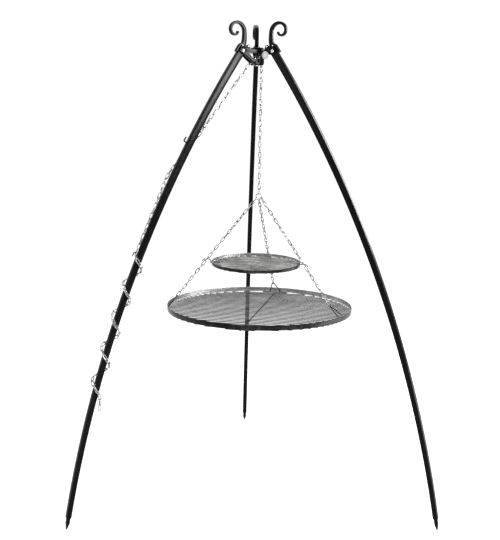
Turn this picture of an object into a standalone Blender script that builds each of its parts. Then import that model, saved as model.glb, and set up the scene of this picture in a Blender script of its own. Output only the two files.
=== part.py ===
"""Swinging tripod grill: arched legs with scroll tops, hub with a chain pulley, and two hanging grates.

Every named piece is its own closed solid in metres, +Z up, with the feet on z = 0.
Three frames carry the shape.
    A hub arm's frame (r, t, z) has r outward from the hub's axis and t to its left.
    A leg's frame (s, n, t) has s down the bowed leg from its hinge and n outward from the leg.
    The hanging frame is upright and centred on the main chain, which falls beside the hub's axis.
"""
import math

import bmesh
import bpy
from mathutils import Vector
from mathutils.geometry import tessellate_polygon

# Stand: driving sizes
HUB_Y = -0.2116           # the hub's axis stands forward of the middle of the three feet's box
HINGE_R = 0.0766          # leg hinge bolt, out from the hub's axis
HINGE_Z = 1.8965
FOOT_R = 0.8586           # circle of the spike tips
LEG_BOW = 0.112           # how far the leg's arc stands out from its chord
AZIMUTH = {"left": 210.0, "right": 330.0, "back": 90.0}

# Legs: square tube, deeper at the top than at the foot
TUBE_WIDTH = 0.020
TUBE_DEPTH_TOP = 0.030
TUBE_DEPTH_FOOT = 0.0175
TUBE_WALL = 0.002
TUBE_ABOVE_HINGE = 0.012
LEG_JOINT_S = 0.70        # where the upper tube takes the lower tube's spigot
SPIGOT_LENGTH = 0.05
SPIGOT_WALL = 0.0015
LEG_FACETS = 15
SPIKE_LENGTH = 0.047      # what shows of the spike below the tube
SPIKE_PLUG = 0.022
SPIKE_DEPTH = 0.0130
SPIKE_WIDTH = 0.0153
SPIKE_STRAIGHT = 0.024
SPIKE_TIP = 0.0050

# Scroll tops
SCROLL_WIDTH = 0.017
TONGUE_THICK = 0.010
TONGUE_S = (0.018, -0.014)
BEND_THICK = 0.011
BEND = (0.0724, 1.9268)     # where the tongue turns up into the stem
STEM_THICK = 0.0145
STEM_FOOT = (0.0652, 1.9380)
CURL_THICK = 0.008
CURL_CENTRE = (0.1045, 1.9755)
CURL_RADIUS = 0.0415
CURL_SHRINK = 0.80
CURL_POWER = 1.05
CURL_START, CURL_END = 190.0, -165.0
CURL_STEPS = 13
CURL_THINNING = 1.6       # above 1 the strip thins soon after the stem

# Hub
PLATE_THICK = 0.004
PLATE_GAP = 0.0104        # inner face of each ear plate from the arm's middle
EAR_RADIUS = 0.0145
STOP_BOLT = (0.0505, 1.9150)
STOP_EAR_RADIUS = 0.0072
NECK_Z = (1.886, 1.898)
NECK_INNER_R = 0.0257
NECK_EAR_R = 0.038        # the top edge runs level out to here, then rises to the stop bolt
CHEEK_EAR_R = 0.042
NECK_TAB_R = 0.0285       # the neck rises to the hub's top plate as far out as this
HUB_TOP_Z = 1.9070
HUB_PLATE_R = 0.0275
HUB_PLATE_THICK = 0.005
BOLT_R = 0.004
BOLT_HOLE_R = 0.0048
STOP_BOLT_R = 0.0022
STOP_HOLE_R = 0.0028
HINGE_HEAD = (0.0072, 0.005)    # radius and height of a head
STOP_HEAD = (0.0040, 0.0030)
AXLE_HEAD = (0.0066, 0.005)
TAG_R = 0.016
TAG_AT = (0.0458, 1.8805)
TAG_STEPS = ((0.0, 0.0), (0.002, 0.0), (0.0032, 0.0015))    # height, and how far the edge draws in

# Pulley
AXLE_Z = 1.858
PITCH = 0.022             # one chain link, inside length
PULLEY_R = PITCH          # three links cover half a turn of the pitch circle
PULLEY_CORE_R = 0.0113
PULLEY_SHOULDER_R = 0.0162
PULLEY_FLANGE_R = 0.0198
PULLEY_SLOT = 0.0028      # half width of the slot for the upright links
PULLEY_INSIDE = 0.0079
PULLEY_HALF = 0.0093
PULLEY_SIDES = 16
PULLEY_SLACK = 0.0005     # the bore is this much wider than the axle, all round

# Chain link: its wire is three-sided here, with a ridge inward, for the 4 mm round one
WIRE_R = 0.0026
LINK_HALF_WIDTH = 0.0054
LINK_CORNER = 0.0030
LINK_END_HALF = 0.0025
FUSE = 0.0005             # links of one run are fused where they touch
CLEAR = 0.0004            # gap between pieces that hang in each other

# Hanging parts
MAIN_LINKS = 24
RING_R = 0.013
RING_WIRE = 0.0023
RING_HANG = {"left": -146.0, "back": -90.0, "right": -34.0}
RING_TURN = 180.0         # the main chain twists to this azimuth, square to the ring
BRIDLE_LINKS = 25
BRIDLE_TWIST = {"left": 90.0, "back": 0.0, "right": 90.0}
TWIST_LINKS = 12          # the upper links that share a bridle's twist
BRIDLE_AZIMUTH = {"left": 178.0, "back": 76.5, "right": 328.0}
BAIL_TOP_Z = 0.862
BAIL_FOOT = (0.003, 0.008)      # the straight foot, up from the rim's lower edge
BAIL_WIRE = 0.0025
BAIL_SPREAD = 0.022
BAIL_TOP_HALF = 0.0035
LARGE_R = 0.400
LARGE_Z = 0.809
LARGE_RIM_HEIGHT = 0.020
LARGE_ROD = 0.0025
LARGE_ROD_PITCH = 0.0245
LARGE_SHIFT = 0.010       # the large grate hangs a little to the right of the ring
SMALL_R = 0.192
SMALL_Z = 1.006
SMALL_RIM_HEIGHT = 0.012
SMALL_ROD = 0.002
SMALL_ROD_PITCH = 0.0143
RIM_THICK = 0.003
RIM_SIDES = {"large": 64, "small": 40}
ROD_SHORT = 0.0012        # the rods end this far inside the rim's outer wall
CROSS_ROD_SHARE = 0.985
FUSE_DEPTH = 0.0004       # how far the cross rod's solid runs into the rods it is welded to
ROD_TURN = -11.2          # the rods run a little across the view, in degrees from X
SMALL_SHIFT = -0.008      # the small grate hangs a little to the left
SMALL_TILT = 2.2          # its back edge hangs higher, in degrees
SMALL_HANG_LINK = 15      # the bridle link that carries the small grate's hook
SMALL_HOOK_WIRE = 0.002
SMALL_HOOK_FOOT = 0.001   # its end, up from the rim's lower edge
SMALL_HOOK_LEAN = 0.006   # how far it stands out at the top
SMALL_HOOK_OVER = ((0.0135, 0.0), (0.0195, 0.007))    # its end beyond the link: outward, downward
WELD_GAP = 0.0007         # a rod's side from the rim that it is welded to
SEAT = 0.0003             # gap that welded or seated pieces keep

# Hooks and chain on the left leg
TOOL_HOOK_S = 0.448
CHAIN_HOOK_S = 0.915
HOOK_WIRE = 0.00225
TOOL_HOOK = [(0.0, 0.0), (0.0, 0.012), (-0.004, 0.0145), (-0.018, 0.0125)]
CHAIN_HOOK = [(0.0, 0.0), (0.0, 0.0142), (0.004, 0.0175), (0.016, 0.0175)]
HOOK_LOW = 0.0035         # the hook sits this much below the middle of the link it holds
FALL_EXIT = 39.0          # degrees from upright of the fall between the pulley and the leg
FALL_OUT = 0.0201         # chain centre off the leg's middle where it lies on the outer face
WRAP_OUT = 0.0245
WRAP_SIDE = 0.0238
WRAP_PITCH = 0.133
WRAP_LEAD = 0.019         # straight run between the hook and the first turn
WRAP_TURNS = 4.3
WRAP_SKEW = 45.0          # degrees that the wound links lean, reached over the first few
WRAP_EASE_LINKS = 3
WRAP_POINTS = 24
WRAP_SQUARE = 0.75        # below 1 the turns bulge to the tube's corners
TAIL_FREE = 0.040

MATERIALS = {
    "black_paint": ((0.018, 0.018, 0.020), 0.0, 0.45),
    "zinc_steel": ((0.62, 0.62, 0.64), 1.0, 0.38),
    "grate_steel": ((0.48, 0.48, 0.49), 1.0, 0.42),
    "bright_steel": ((0.72, 0.72, 0.73), 1.0, 0.25),
}


def clear_scene():
    for thing in list(bpy.data.objects):
        bpy.data.objects.remove(thing, do_unlink=True)


def material(slot, piece):
    """A Principled material of the piece's own, in the slot's colour."""
    colour, metallic, roughness = MATERIALS[slot]
    made = bpy.data.materials.new(piece + "_" + slot)
    made.use_nodes = True
    shader = made.node_tree.nodes["Principled BSDF"]
    shader.inputs["Base Color"].default_value = (*colour, 1.0)
    shader.inputs["Metallic"].default_value = metallic
    shader.inputs["Roughness"].default_value = roughness
    return made


def solid(name, verts, faces, slot, origin=Vector((0, 0, 0))):
    """One closed solid whose object origin is the joint or place that carries it."""
    mesh = bpy.data.meshes.new(name)
    mesh.from_pydata([tuple(Vector(v) - origin) for v in verts], [], faces)
    form = bmesh.new()
    form.from_mesh(mesh)
    bmesh.ops.recalc_face_normals(form, faces=form.faces)
    form.to_mesh(mesh)
    form.free()
    mesh.materials.append(material(slot, name))
    thing = bpy.data.objects.new(name, mesh)
    thing.location = origin
    bpy.context.collection.objects.link(thing)
    return thing


def combine(thing, cutter, operation):
    """Fuse or cut one solid with another by an exact Boolean; the cutter doesn't render."""
    cutter.hide_render = True
    cutter.display_type = "WIRE"
    step = thing.modifiers.new(operation.lower(), "BOOLEAN")
    step.operation = operation
    step.solver = "EXACT"
    step.object = cutter
    return thing


def loft(rings, closed=False):
    """Faces through rings of equal count; open lofts get end caps."""
    count, sides = len(rings), len(rings[0])
    verts = [point for ring in rings for point in ring]
    faces = []
    for i in range(count if closed else count - 1):
        a, b = i * sides, (i + 1) % count * sides
        for k in range(sides):
            j = (k + 1) % sides
            faces.append((a + k, a + j, b + j, b + k))
    if not closed:
        faces.append(tuple(reversed(range(sides))))
        faces.append(tuple(range((count - 1) * sides, count * sides)))
    return verts, faces


def extrude(outlines, thickness, place):
    """A plate: an outline with holes, given in a plane, made thick across it by place(x, y, depth)."""
    flat = [point for outline in outlines for point in outline]
    count = len(flat)
    verts = [place(x, y, 0.0) for x, y in flat] + [place(x, y, thickness) for x, y in flat]
    faces = []
    for tri in tessellate_polygon([[Vector((x, y, 0)) for x, y in outline] for outline in outlines]):
        faces.append(tuple(tri))
        faces.append(tuple(count + i for i in reversed(tri)))
    start = 0
    for outline in outlines:
        n = len(outline)
        for k in range(n):
            a, b = start + k, start + (k + 1) % n
            faces.append((a, b, b + count, a + count))
        start += n
    return verts, faces


def arc(centre, radius, start, end, steps):
    """Points of an arc in a plane, from start to end degrees."""
    angles = (math.radians(start + (end - start) * k / steps) for k in range(steps + 1))
    return [(centre[0] + radius * math.cos(a), centre[1] + radius * math.sin(a)) for a in angles]


def revolve(profile, centre, axis, side, sides):
    """Turn a closed profile of (radius, along) points about an axis."""
    up = axis.cross(side)
    rings = []
    for k in range(sides):
        angle = 2 * math.pi * k / sides
        out = side * math.cos(angle) + up * math.sin(angle)
        rings.append([centre + out * radius + axis * along for radius, along in profile])
    return loft(rings, closed=True)


def rod(points, radius, sides, normal):
    """A round rod along points that lie in the plane square to normal, its ring mitred at each bend."""
    rings = []
    for i, point in enumerate(points):
        before = (point - points[max(i - 1, 0)]).normalized() if i else None
        after = (points[i + 1] - point).normalized() if i < len(points) - 1 else None
        along = ((before or after) + (after or before)).normalized()
        half = along.dot(after or before)
        out = along.cross(normal).normalized()
        rings.append([point + out * (radius / half * math.cos(a)) + normal * (radius * math.sin(a))
                      for a in (2 * math.pi * (k + 0.5) / sides for k in range(sides))])
    return loft(rings)


class Arm:
    """Directions of one hub arm: outward, and to its left."""

    def __init__(self, azimuth):
        angle = math.radians(azimuth)
        self.out = Vector((math.cos(angle), math.sin(angle), 0))
        self.left = Vector((-math.sin(angle), math.cos(angle), 0))

    def at(self, r, z, t=0.0):
        return Vector((0, HUB_Y, z)) + self.out * r + self.left * t


ARMS = {side: Arm(azimuth) for side, azimuth in AZIMUTH.items()}

# The leg's arc passes the hinge and the foot and stands LEG_BOW off their chord
CHORD = math.hypot(FOOT_R - HINGE_R, HINGE_Z)
LEAN = math.atan2(FOOT_R - HINGE_R, HINGE_Z)
HALF_TURN = 2 * math.atan(2 * LEG_BOW / CHORD)
ARC_R = CHORD / (2 * math.sin(HALF_TURN))
LEG_LENGTH = 2 * HALF_TURN * ARC_R
TOP_ANGLE = LEAN + HALF_TURN


def arc_point(s):
    """The leg's exact arc: (r, z, angle from upright) at s below the hinge."""
    angle = TOP_ANGLE - s / ARC_R
    return (HINGE_R + ARC_R * (math.cos(angle) - math.cos(TOP_ANGLE)),
            HINGE_Z + ARC_R * (math.sin(angle) - math.sin(TOP_ANGLE)), angle)


KNOTS = [-0.05] + [LEG_LENGTH * k / LEG_FACETS for k in range(LEG_FACETS + 1)]


def leg_frame(s):
    """Point and outward direction on the faceted leg, straight between knots, in the (r, z) plane."""
    k = max(i for i in range(len(KNOTS) - 1) if i == 0 or KNOTS[i] <= s)
    share = (s - KNOTS[k]) / (KNOTS[k + 1] - KNOTS[k])
    a, b = arc_point(KNOTS[k]), arc_point(KNOTS[k + 1])
    r, z, angle = (a[i] + (b[i] - a[i]) * share for i in range(3))
    return (r, z), (math.cos(angle), math.sin(angle))


def leg_at(arm, s, n=0.0, t=0.0):
    (r, z), (nr, nz) = leg_frame(s)
    return arm.at(r + nr * n, z + nz * n, t)


def tube_depth(s):
    return TUBE_DEPTH_TOP + (TUBE_DEPTH_FOOT - TUBE_DEPTH_TOP) * max(s, 0.0) / LEG_LENGTH


def leg_ring(arm, s, depth, width):
    half_n, half_t = depth / 2, width / 2
    return [leg_at(arm, s, n, t) for n, t in
            ((half_n, half_t), (-half_n, half_t), (-half_n, -half_t), (half_n, -half_t))]


def stations(start, end):
    return [start] + [k for k in KNOTS if start + 0.01 < k < end - 0.01] + [end]


def bolt(name, start, along, grip, radius, head_size, sides, slot):
    """A bolt with its nut: a low domed head, a shank through the grip and a nut on the far side."""
    head_radius, head = head_size
    side = Vector((0, 0, 1)) if abs(along.z) < 0.9 else Vector((1, 0, 0))
    up = along.cross(side)
    profile = [(head_radius * 0.55, -head - SEAT), (head_radius, -0.45 * head - SEAT), (head_radius, -SEAT),
               (radius, -SEAT), (radius, grip + SEAT), (head_radius * 0.95, grip + SEAT),
               (head_radius * 0.95, grip + SEAT + head)]
    rings = []
    for size, offset in profile:
        rings.append([start + along * offset
                      + (side * math.cos(a) + up * math.sin(a)) * size
                      for a in (2 * math.pi * (k + 0.5) / sides for k in range(sides))])
    return solid(name, *loft(rings), slot)


def hinge_point(side):
    return ARMS[side].at(HINGE_R, HINGE_Z)


def make_leg(side):
    """Upper and lower tube, spike and scroll of one leg, all turning about its hinge bolt."""
    arm, origin = ARMS[side], hinge_point(side)
    inner = 2 * TUBE_WALL

    def tube_rings(start, end, shrink=0.0):
        return [leg_ring(arm, s, tube_depth(s) - shrink, TUBE_WIDTH - shrink) for s in stations(start, end)]

    top = -TUBE_ABOVE_HINGE
    rings = tube_rings(top, LEG_JOINT_S) + tube_rings(top, LEG_JOINT_S, inner)[::-1]
    upper = solid("leg_upper_" + side, *loft(rings, closed=True), "black_paint", origin)
    drill = [[arm.at(HINGE_R, HINGE_Z, t) + (arm.out * math.cos(a) + Vector((0, 0, math.sin(a)))) * BOLT_HOLE_R
              for a in (2 * math.pi * (k + 0.5) / 8 for k in range(8))]
             for t in (-TUBE_WIDTH, TUBE_WIDTH)]
    combine(upper, solid("cut_hinge_" + side, *loft(drill), "black_paint", origin), "DIFFERENCE")

    # The lower tube's top is necked down to a spigot that stands in the upper tube
    neck = inner + 2 * SEAT
    spigot_top = LEG_JOINT_S - SPIGOT_LENGTH
    shoulder = LEG_JOINT_S + SEAT
    foot_end = LEG_LENGTH - SPIKE_LENGTH
    depth = tube_depth(LEG_JOINT_S)

    def spigot_ring(s, shrink):
        return leg_ring(arm, s, depth - shrink, TUBE_WIDTH - shrink)

    outer = [spigot_ring(s, neck) for s in (spigot_top, shoulder)] + tube_rings(shoulder, foot_end)
    step = shoulder + TUBE_WALL
    bore = [spigot_ring(s, neck + 2 * SPIGOT_WALL) for s in (spigot_top, step)]
    bore += tube_rings(step + TUBE_WALL, foot_end, inner)
    solid("leg_lower_" + side, *loft(outer + bore[::-1], closed=True), "black_paint", origin)

    # The spike stands in the lower tube and ends in a small flat on the ground
    rings = [leg_ring(arm, s, SPIKE_DEPTH, SPIKE_WIDTH) for s in (foot_end - SPIKE_PLUG, foot_end + SPIKE_STRAIGHT)]
    tip = SPIKE_TIP / 2
    rings.append([arm.at(FOOT_R + r, 0.0, t) for r, t in ((tip, tip), (-tip, tip), (-tip, -tip), (tip, -tip))])
    solid("spike_" + side, *loft(rings), "black_paint", origin)
    make_scroll(side, arm, origin)


def make_scroll(side, arm, origin):
    """A flat tongue on the leg's outer face, an upright stem and a curl that thins as it turns in."""
    def on_leg(s, n):
        (r, z), (nr, nz) = leg_frame(s)
        return r + nr * n, z + nz * n

    lift = TUBE_DEPTH_TOP / 2 + SEAT + TONGUE_THICK / 2
    path = [on_leg(s, lift) for s in TONGUE_S] + [BEND, STEM_FOOT]
    thick = [TONGUE_THICK, TONGUE_THICK, BEND_THICK, STEM_THICK]
    for k in range(CURL_STEPS + 1):
        share = k / CURL_STEPS
        angle = math.radians(CURL_START + (CURL_END - CURL_START) * share)
        radius = CURL_RADIUS * (1 - CURL_SHRINK * share ** CURL_POWER)
        path.append((CURL_CENTRE[0] + radius * math.cos(angle), CURL_CENTRE[1] + radius * math.sin(angle)))
        thick.append(CURL_THICK + (STEM_THICK - CURL_THICK) * (1 - share) ** CURL_THINNING)
    rings = []
    for i, (r, z) in enumerate(path):
        back, ahead = path[max(i - 1, 0)], path[min(i + 1, len(path) - 1)]
        dr, dz = ahead[0] - back[0], ahead[1] - back[1]
        length = math.hypot(dr, dz)
        nr, nz = dz / length * thick[i] / 2, -dr / length * thick[i] / 2
        half = SCROLL_WIDTH / 2
        rings.append([arm.at(r + nr, z + nz, half), arm.at(r - nr, z - nz, half),
                      arm.at(r - nr, z - nz, -half), arm.at(r + nr, z + nz, -half)])
    solid("scroll_" + side, *loft(rings), "black_paint", origin)


def ear_outline():
    """The end of an arm plate: a lobe round the hinge bolt and a smaller one round the stop bolt."""
    return (arc((HINGE_R, HINGE_Z), EAR_RADIUS, -110, 65, 7)
            + arc(STOP_BOLT, STOP_EAR_RADIUS, 40, 190, 5))


def hole(centre, radius, sides=8):
    return [point for point in arc(centre, radius, 360 / sides / 2, 360 + 360 / sides / 2, sides)][:-1]


def arm_plates(side, names, outline, holes):
    """The pair of parallel plates that an arm is made of, with the leg's tube between their ears."""
    arm = ARMS[side]
    for name, start in zip(names, (PLATE_GAP, -PLATE_GAP - PLATE_THICK)):
        place = lambda x, y, depth, start=start: arm.at(x, y, start + depth)
        solid(name, *extrude([outline] + holes, PLATE_THICK, place), "black_paint")


def make_hub():
    """Cheek plates of the left arm, which hold the pulley, and the ear plates of the other two arms."""
    bolts = [hole((HINGE_R, HINGE_Z), BOLT_HOLE_R), hole(STOP_BOLT, STOP_HOLE_R, 6)]
    low, high = NECK_Z
    neck = ([(NECK_INNER_R, HUB_TOP_Z), (NECK_INNER_R, low)] + ear_outline()
            + [(NECK_EAR_R, high), (NECK_TAB_R, high), (NECK_TAB_R, HUB_TOP_Z)])
    arm_plates("right", ("ear_right_rear", "ear_right_front"), neck, bolts)
    arm_plates("back", ("ear_back_left", "ear_back_right"), neck, bolts)

    # The cheeks run on past the hub's axis, with two windows over the pulley's block
    cheek = ([(-0.0225, HUB_TOP_Z), (-0.0255, 1.872), (-0.0255, 1.852)]
             + arc((-0.0155, 1.8515), 0.0100, 190, 270, 3) + [(0.018, 1.8415)]
             + arc((0.0175, 1.8495), 0.0080, -80, -50, 1) + ear_outline() + [(CHEEK_EAR_R, HUB_TOP_Z)])
    windows = [[(0.0480, 1.8895), (0.0125, 1.8895), (0.0105, 1.8675), (0.0265, 1.8675)],
               [(0.0075, 1.8895), (-0.0085, 1.8895), (-0.0115, 1.878), (-0.0085, 1.8675), (0.0060, 1.8675)]]
    axle = [hole((0.0, AXLE_Z), BOLT_HOLE_R)]
    arm_plates("left", ("cheek_front", "cheek_rear"), cheek, bolts + windows + axle)

    top = [(HUB_PLATE_R * math.cos(math.radians(a)), HUB_PLATE_R * math.sin(math.radians(a)))
           for a in range(0, 360, 30)]
    start = HUB_TOP_Z + SEAT
    solid("hub_plate", *extrude([top], HUB_PLATE_THICK, lambda x, y, depth: Vector((x, y + HUB_Y, start + depth))),
          "black_paint")

    outer = PLATE_GAP + PLATE_THICK
    for side, arm in ARMS.items():
        facing = 1 if side in ("left", "back") else -1
        along = arm.left * -facing
        start = arm.at(HINGE_R, HINGE_Z, outer * facing)
        bolt("hinge_bolt_" + side, start, along, 2 * outer, BOLT_R, HINGE_HEAD, 8, "bright_steel")
        start = arm.at(*STOP_BOLT, outer * facing)
        bolt("stop_bolt_" + side, start, along, 2 * outer, STOP_BOLT_R, STOP_HEAD, 6, "bright_steel")

    arm = ARMS["right"]
    centre = arm.at(TAG_AT[0], TAG_AT[1], -outer - SEAT)
    rings = [[centre - arm.left * height + (arm.out * math.cos(a) + Vector((0, 0, math.sin(a)))) * (TAG_R - inset)
              for a in (2 * math.pi * k / 16 for k in range(16))]
             for height, inset in TAG_STEPS]
    solid("tag_disc", *loft(rings), "bright_steel")


def make_pulley():
    """A grooved wheel: upright links sink in its slot and flat links ride on its shoulders."""
    arm = ARMS["left"]
    centre = arm.at(0.0, AXLE_Z)
    bore = BOLT_R + PULLEY_SLACK
    half = [(bore, PULLEY_HALF), (PULLEY_FLANGE_R, PULLEY_HALF), (PULLEY_FLANGE_R, PULLEY_INSIDE),
            (PULLEY_SHOULDER_R, PULLEY_INSIDE), (PULLEY_SHOULDER_R, PULLEY_SLOT), (PULLEY_CORE_R, PULLEY_SLOT)]
    profile = half + [(radius, -along) for radius, along in reversed(half)]
    solid("pulley_wheel", *revolve(profile, centre, arm.left, arm.out, PULLEY_SIDES), "zinc_steel", centre)
    outer = PLATE_GAP + PLATE_THICK
    bolt("pulley_axle", arm.at(0.0, AXLE_Z, outer), -arm.left, 2 * outer, BOLT_R, AXLE_HEAD, 8,
         "bright_steel")


def link(start, end, normal):
    """A chain link round two wire centres: eight straight runs of three-sided wire, its ridge inward."""
    along = (end - start).normalized()
    across = normal.cross(along).normalized()
    face = along.cross(across)
    half = (end - start).length / 2
    corner = half - LINK_CORNER
    centre = (start + end) / 2
    outline = [(half, LINK_END_HALF), (corner, LINK_HALF_WIDTH), (-corner, LINK_HALF_WIDTH), (-half, LINK_END_HALF),
               (-half, -LINK_END_HALF), (-corner, -LINK_HALF_WIDTH), (corner, -LINK_HALF_WIDTH),
               (half, -LINK_END_HALF)]
    rings = []
    for k, (x, y) in enumerate(outline):
        before, after = outline[k - 1], outline[(k + 1) % 8]
        a = Vector((x - before[0], y - before[1])).normalized()
        b = Vector((after[0] - x, after[1] - y)).normalized()
        mitre = (a + b).normalized()
        out = Vector((mitre.y, -mitre.x)) / mitre.dot(a)
        ring = []
        for turn in (0, 120, 240):
            outward = -math.cos(math.radians(turn)) * WIRE_R
            off_plane = math.sin(math.radians(turn)) * WIRE_R
            px, py = x + out.x * outward, y + out.y * outward
            ring.append(centre + along * px + across * py + face * off_plane)
        rings.append(ring)
    return loft(rings, closed=True)


def chain(name, contacts, normals, origin, slot="zinc_steel", ends=(CLEAR, CLEAR), wires=(WIRE_R, WIRE_R)):
    """Links between successive contact points, each turned a quarter from the last and fused to it."""
    groups = ([], []), ([], [])
    count = len(contacts) - 1
    for i in range(count):
        along = (contacts[i + 1] - contacts[i]).normalized()
        reach = WIRE_R - FUSE / 2
        before = WIRE_R + ends[0] / 2 if i == 0 else reach
        after = WIRE_R + ends[1] / 2 if i == count - 1 else reach
        verts, faces = groups[i % 2]
        start = len(verts)
        v, f = link(contacts[i] - along * before, contacts[i + 1] + along * after, normals[i])
        verts.extend(v)
        faces.extend(tuple(start + k for k in face) for face in f)
    run = solid(name, *groups[0], slot, origin)
    if count > 1:
        combine(run, solid("fuse_" + name, *groups[1], slot, origin), "UNION")
    return run


def quarter_turns(contacts, reference, first=0):
    """Link normals that alternate between the reference direction and the one square to it."""
    normals = []
    for i in range(len(contacts) - 1):
        along = (contacts[i + 1] - contacts[i]).normalized()
        flat = reference(i) if callable(reference) else reference
        flat = (flat - along * flat.dot(along)).normalized()
        normals.append(flat if (i + first) % 2 == 0 else along.cross(flat))
    return normals


def smooth(points, steps=12):
    """A smooth curve through the points, as a fine polyline."""
    ends = [points[0] * 2 - points[1]] + points + [points[-1] * 2 - points[-2]]
    curve = []
    for p0, p1, p2, p3 in zip(ends, ends[1:], ends[2:], ends[3:]):
        for k in range(steps):
            u = k / steps
            curve.append(0.5 * (2 * p1 + (p2 - p0) * u + (2 * p0 - 5 * p1 + 4 * p2 - p3) * u * u
                                + (3 * p1 - p0 - 3 * p2 + p3) * u ** 3))
    return curve + [points[-1]]


def step_along(curve, pitch, count=None):
    """Points on a polyline whose straight distances are all one pitch."""
    contacts, i = [curve[0]], 0
    while i < len(curve) - 1 and (count is None or len(contacts) <= count):
        last, a, b = contacts[-1], curve[i], curve[i + 1]
        if (b - last).length < pitch:
            i += 1
            continue
        low, high = 0.0, 1.0
        for _ in range(30):
            mid = (low + high) / 2
            if (a.lerp(b, mid) - last).length < pitch:
                low = mid
            else:
                high = mid
        contacts.append(a.lerp(b, high))
    return contacts


def pulley_contacts():
    """Contact points of the chain over the pulley, from the main chain's side to the fall."""
    arm = ARMS["left"]
    points = [arm.at(-PULLEY_R, AXLE_Z - PITCH)]
    points += [arm.at(-PULLEY_R * math.cos(math.radians(a)), AXLE_Z + PULLEY_R * math.sin(math.radians(a)))
               for a in (0, 60, 120)]
    exit_angle = math.radians(FALL_EXIT)
    points.append(points[-1] + (arm.out * math.sin(exit_angle) - Vector((0, 0, math.cos(exit_angle)))) * PITCH)
    return points


def make_pulley_chain():
    """Upright links sink in the pulley's slot and the flat link on top rides on its shoulders."""
    side = ARMS["left"].left
    contacts = pulley_contacts()
    chain("pulley_chain", contacts, quarter_turns(contacts, side, first=1), Vector((0, 0, 0)))


def make_main_chain():
    """The fall to the grates: two links that swing, then the run that shortens as the grates rise."""
    top = pulley_contacts()[0]
    contacts = [top - Vector((0, 0, PITCH * k)) for k in range(MAIN_LINKS + 1)]

    def facing(i):
        turn = math.radians(AZIMUTH["left"] + 90 + (RING_TURN - AZIMUTH["left"]) * i / (MAIN_LINKS - 1))
        return Vector((math.cos(turn), math.sin(turn), 0))

    normals = quarter_turns(contacts, facing)
    chain("top_link", contacts[:2], normals[:1], contacts[0])
    chain("second_link", contacts[1:3], normals[1:2], contacts[1])
    chain("main_chain", contacts[2:], normals[2:], contacts[2])
    return contacts[-1]


def hang_centre(shift=0.0):
    """The point on the ground under the main chain, or beside it by a grate's own shift."""
    return ARMS["left"].at(-PULLEY_R, 0.0) + Vector((shift, 0, 0))


def make_hanger(top):
    """The ring under the main chain, three bridle chains, and the bails on the large rim."""
    middle = top + Vector((0, 0, RING_WIRE + CLEAR / 2 - RING_R))
    profile = [(RING_R + RING_WIRE * math.cos(a), RING_WIRE * math.sin(a))
               for a in (2 * math.pi * k / 6 for k in range(6))]
    solid("joining_ring", *revolve(profile, middle, Vector((0, 1, 0)), Vector((1, 0, 0)), 16), "zinc_steel", top)
    centre = hang_centre(LARGE_SHIFT)
    for side, azimuth in BRIDLE_AZIMUTH.items():
        hang = math.radians(RING_HANG[side])
        eye = middle + Vector((math.cos(hang), 0, math.sin(hang))) * RING_R
        out = Vector((math.cos(math.radians(azimuth)), math.sin(math.radians(azimuth)), 0))
        across = Vector((-out.y, out.x, 0))
        reach = BRIDLE_LINKS * PITCH - RING_WIRE - BAIL_WIRE - CLEAR
        low, high = 0.2, LARGE_R
        for _ in range(40):
            r = (low + high) / 2
            bail = centre + out * r + Vector((0, 0, BAIL_TOP_Z))
            low, high = (r, high) if (bail - eye).length < reach else (low, r)
        along = (bail - eye).normalized()
        start = eye - along * (RING_WIRE + CLEAR / 2)
        contacts = [start + along * PITCH * k for k in range(BRIDLE_LINKS + 1)]
        upright = along.cross(across)

        def facing(i, twist=math.radians(BRIDLE_TWIST[side])):
            turn = twist * max(0.0, 1 - i / TWIST_LINKS)
            return across * math.cos(turn) + upright * math.sin(turn)

        chain("bridle_" + side, contacts, quarter_turns(contacts, facing), top)
        make_bail(side, centre, out, across, bail, top)
        make_small_hook(side, out, across, contacts, top)


def make_bail(side, centre, out, across, bail, origin):
    """A V of rod: two feet against the rim's inner wall, leaning in to the bridle's last link."""
    wall = LARGE_R - RIM_THICK - SEAT
    points = []
    for sign in (-1, 1):
        spread = BAIL_SPREAD * sign
        foot_r = math.sqrt(wall ** 2 - spread ** 2) - BAIL_WIRE - WELD_GAP
        leg = [centre + out * foot_r + across * spread + Vector((0, 0, LARGE_Z + z)) for z in BAIL_FOOT]
        leg.append(bail + across * BAIL_TOP_HALF * sign)
        points += leg if sign < 0 else leg[::-1]
    rings = []
    for i, point in enumerate(points):
        before = (point - points[i - 1]).normalized() if i else None
        after = (points[i + 1] - point).normalized() if i < len(points) - 1 else None
        along = ((before or after) + (after or before)).normalized()
        first = out - along * out.dot(along)
        first.normalize()
        second = along.cross(first)
        rings.append([point + (first * math.cos(a) + second * math.sin(a)) * BAIL_WIRE
                      for a in (2 * math.pi * k / 6 for k in range(6))])
    solid("bail_" + side, *loft(rings), "grate_steel", origin)


def make_small_hook(side, out, across, contacts, origin):
    """A bent rod on the small rim's outer wall whose end goes through a bridle link and down."""
    centre = hang_centre(SMALL_SHIFT)
    middle = (contacts[SMALL_HANG_LINK] + contacts[SMALL_HANG_LINK + 1]) / 2
    flat = middle - centre
    r = flat.dot(out)
    sideways = across * flat.dot(across)
    rim = math.sqrt(SMALL_R ** 2 - flat.dot(across) ** 2) + SMALL_HOOK_WIRE + WELD_GAP
    z = SMALL_Z + (out * rim + sideways).y * math.tan(math.radians(SMALL_TILT))
    top = middle.z
    shape = [(rim, z + SMALL_HOOK_FOOT), (rim, z + SMALL_RIM_HEIGHT), (rim + SMALL_HOOK_LEAN, top)]
    shape += [(r + outward, top - down) for outward, down in SMALL_HOOK_OVER]
    points = [centre + out * a + sideways + Vector((0, 0, b)) for a, b in shape]
    solid("small_hook_" + side, *rod(points, SMALL_HOOK_WIRE, 6, across), "grate_steel", origin)


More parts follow.
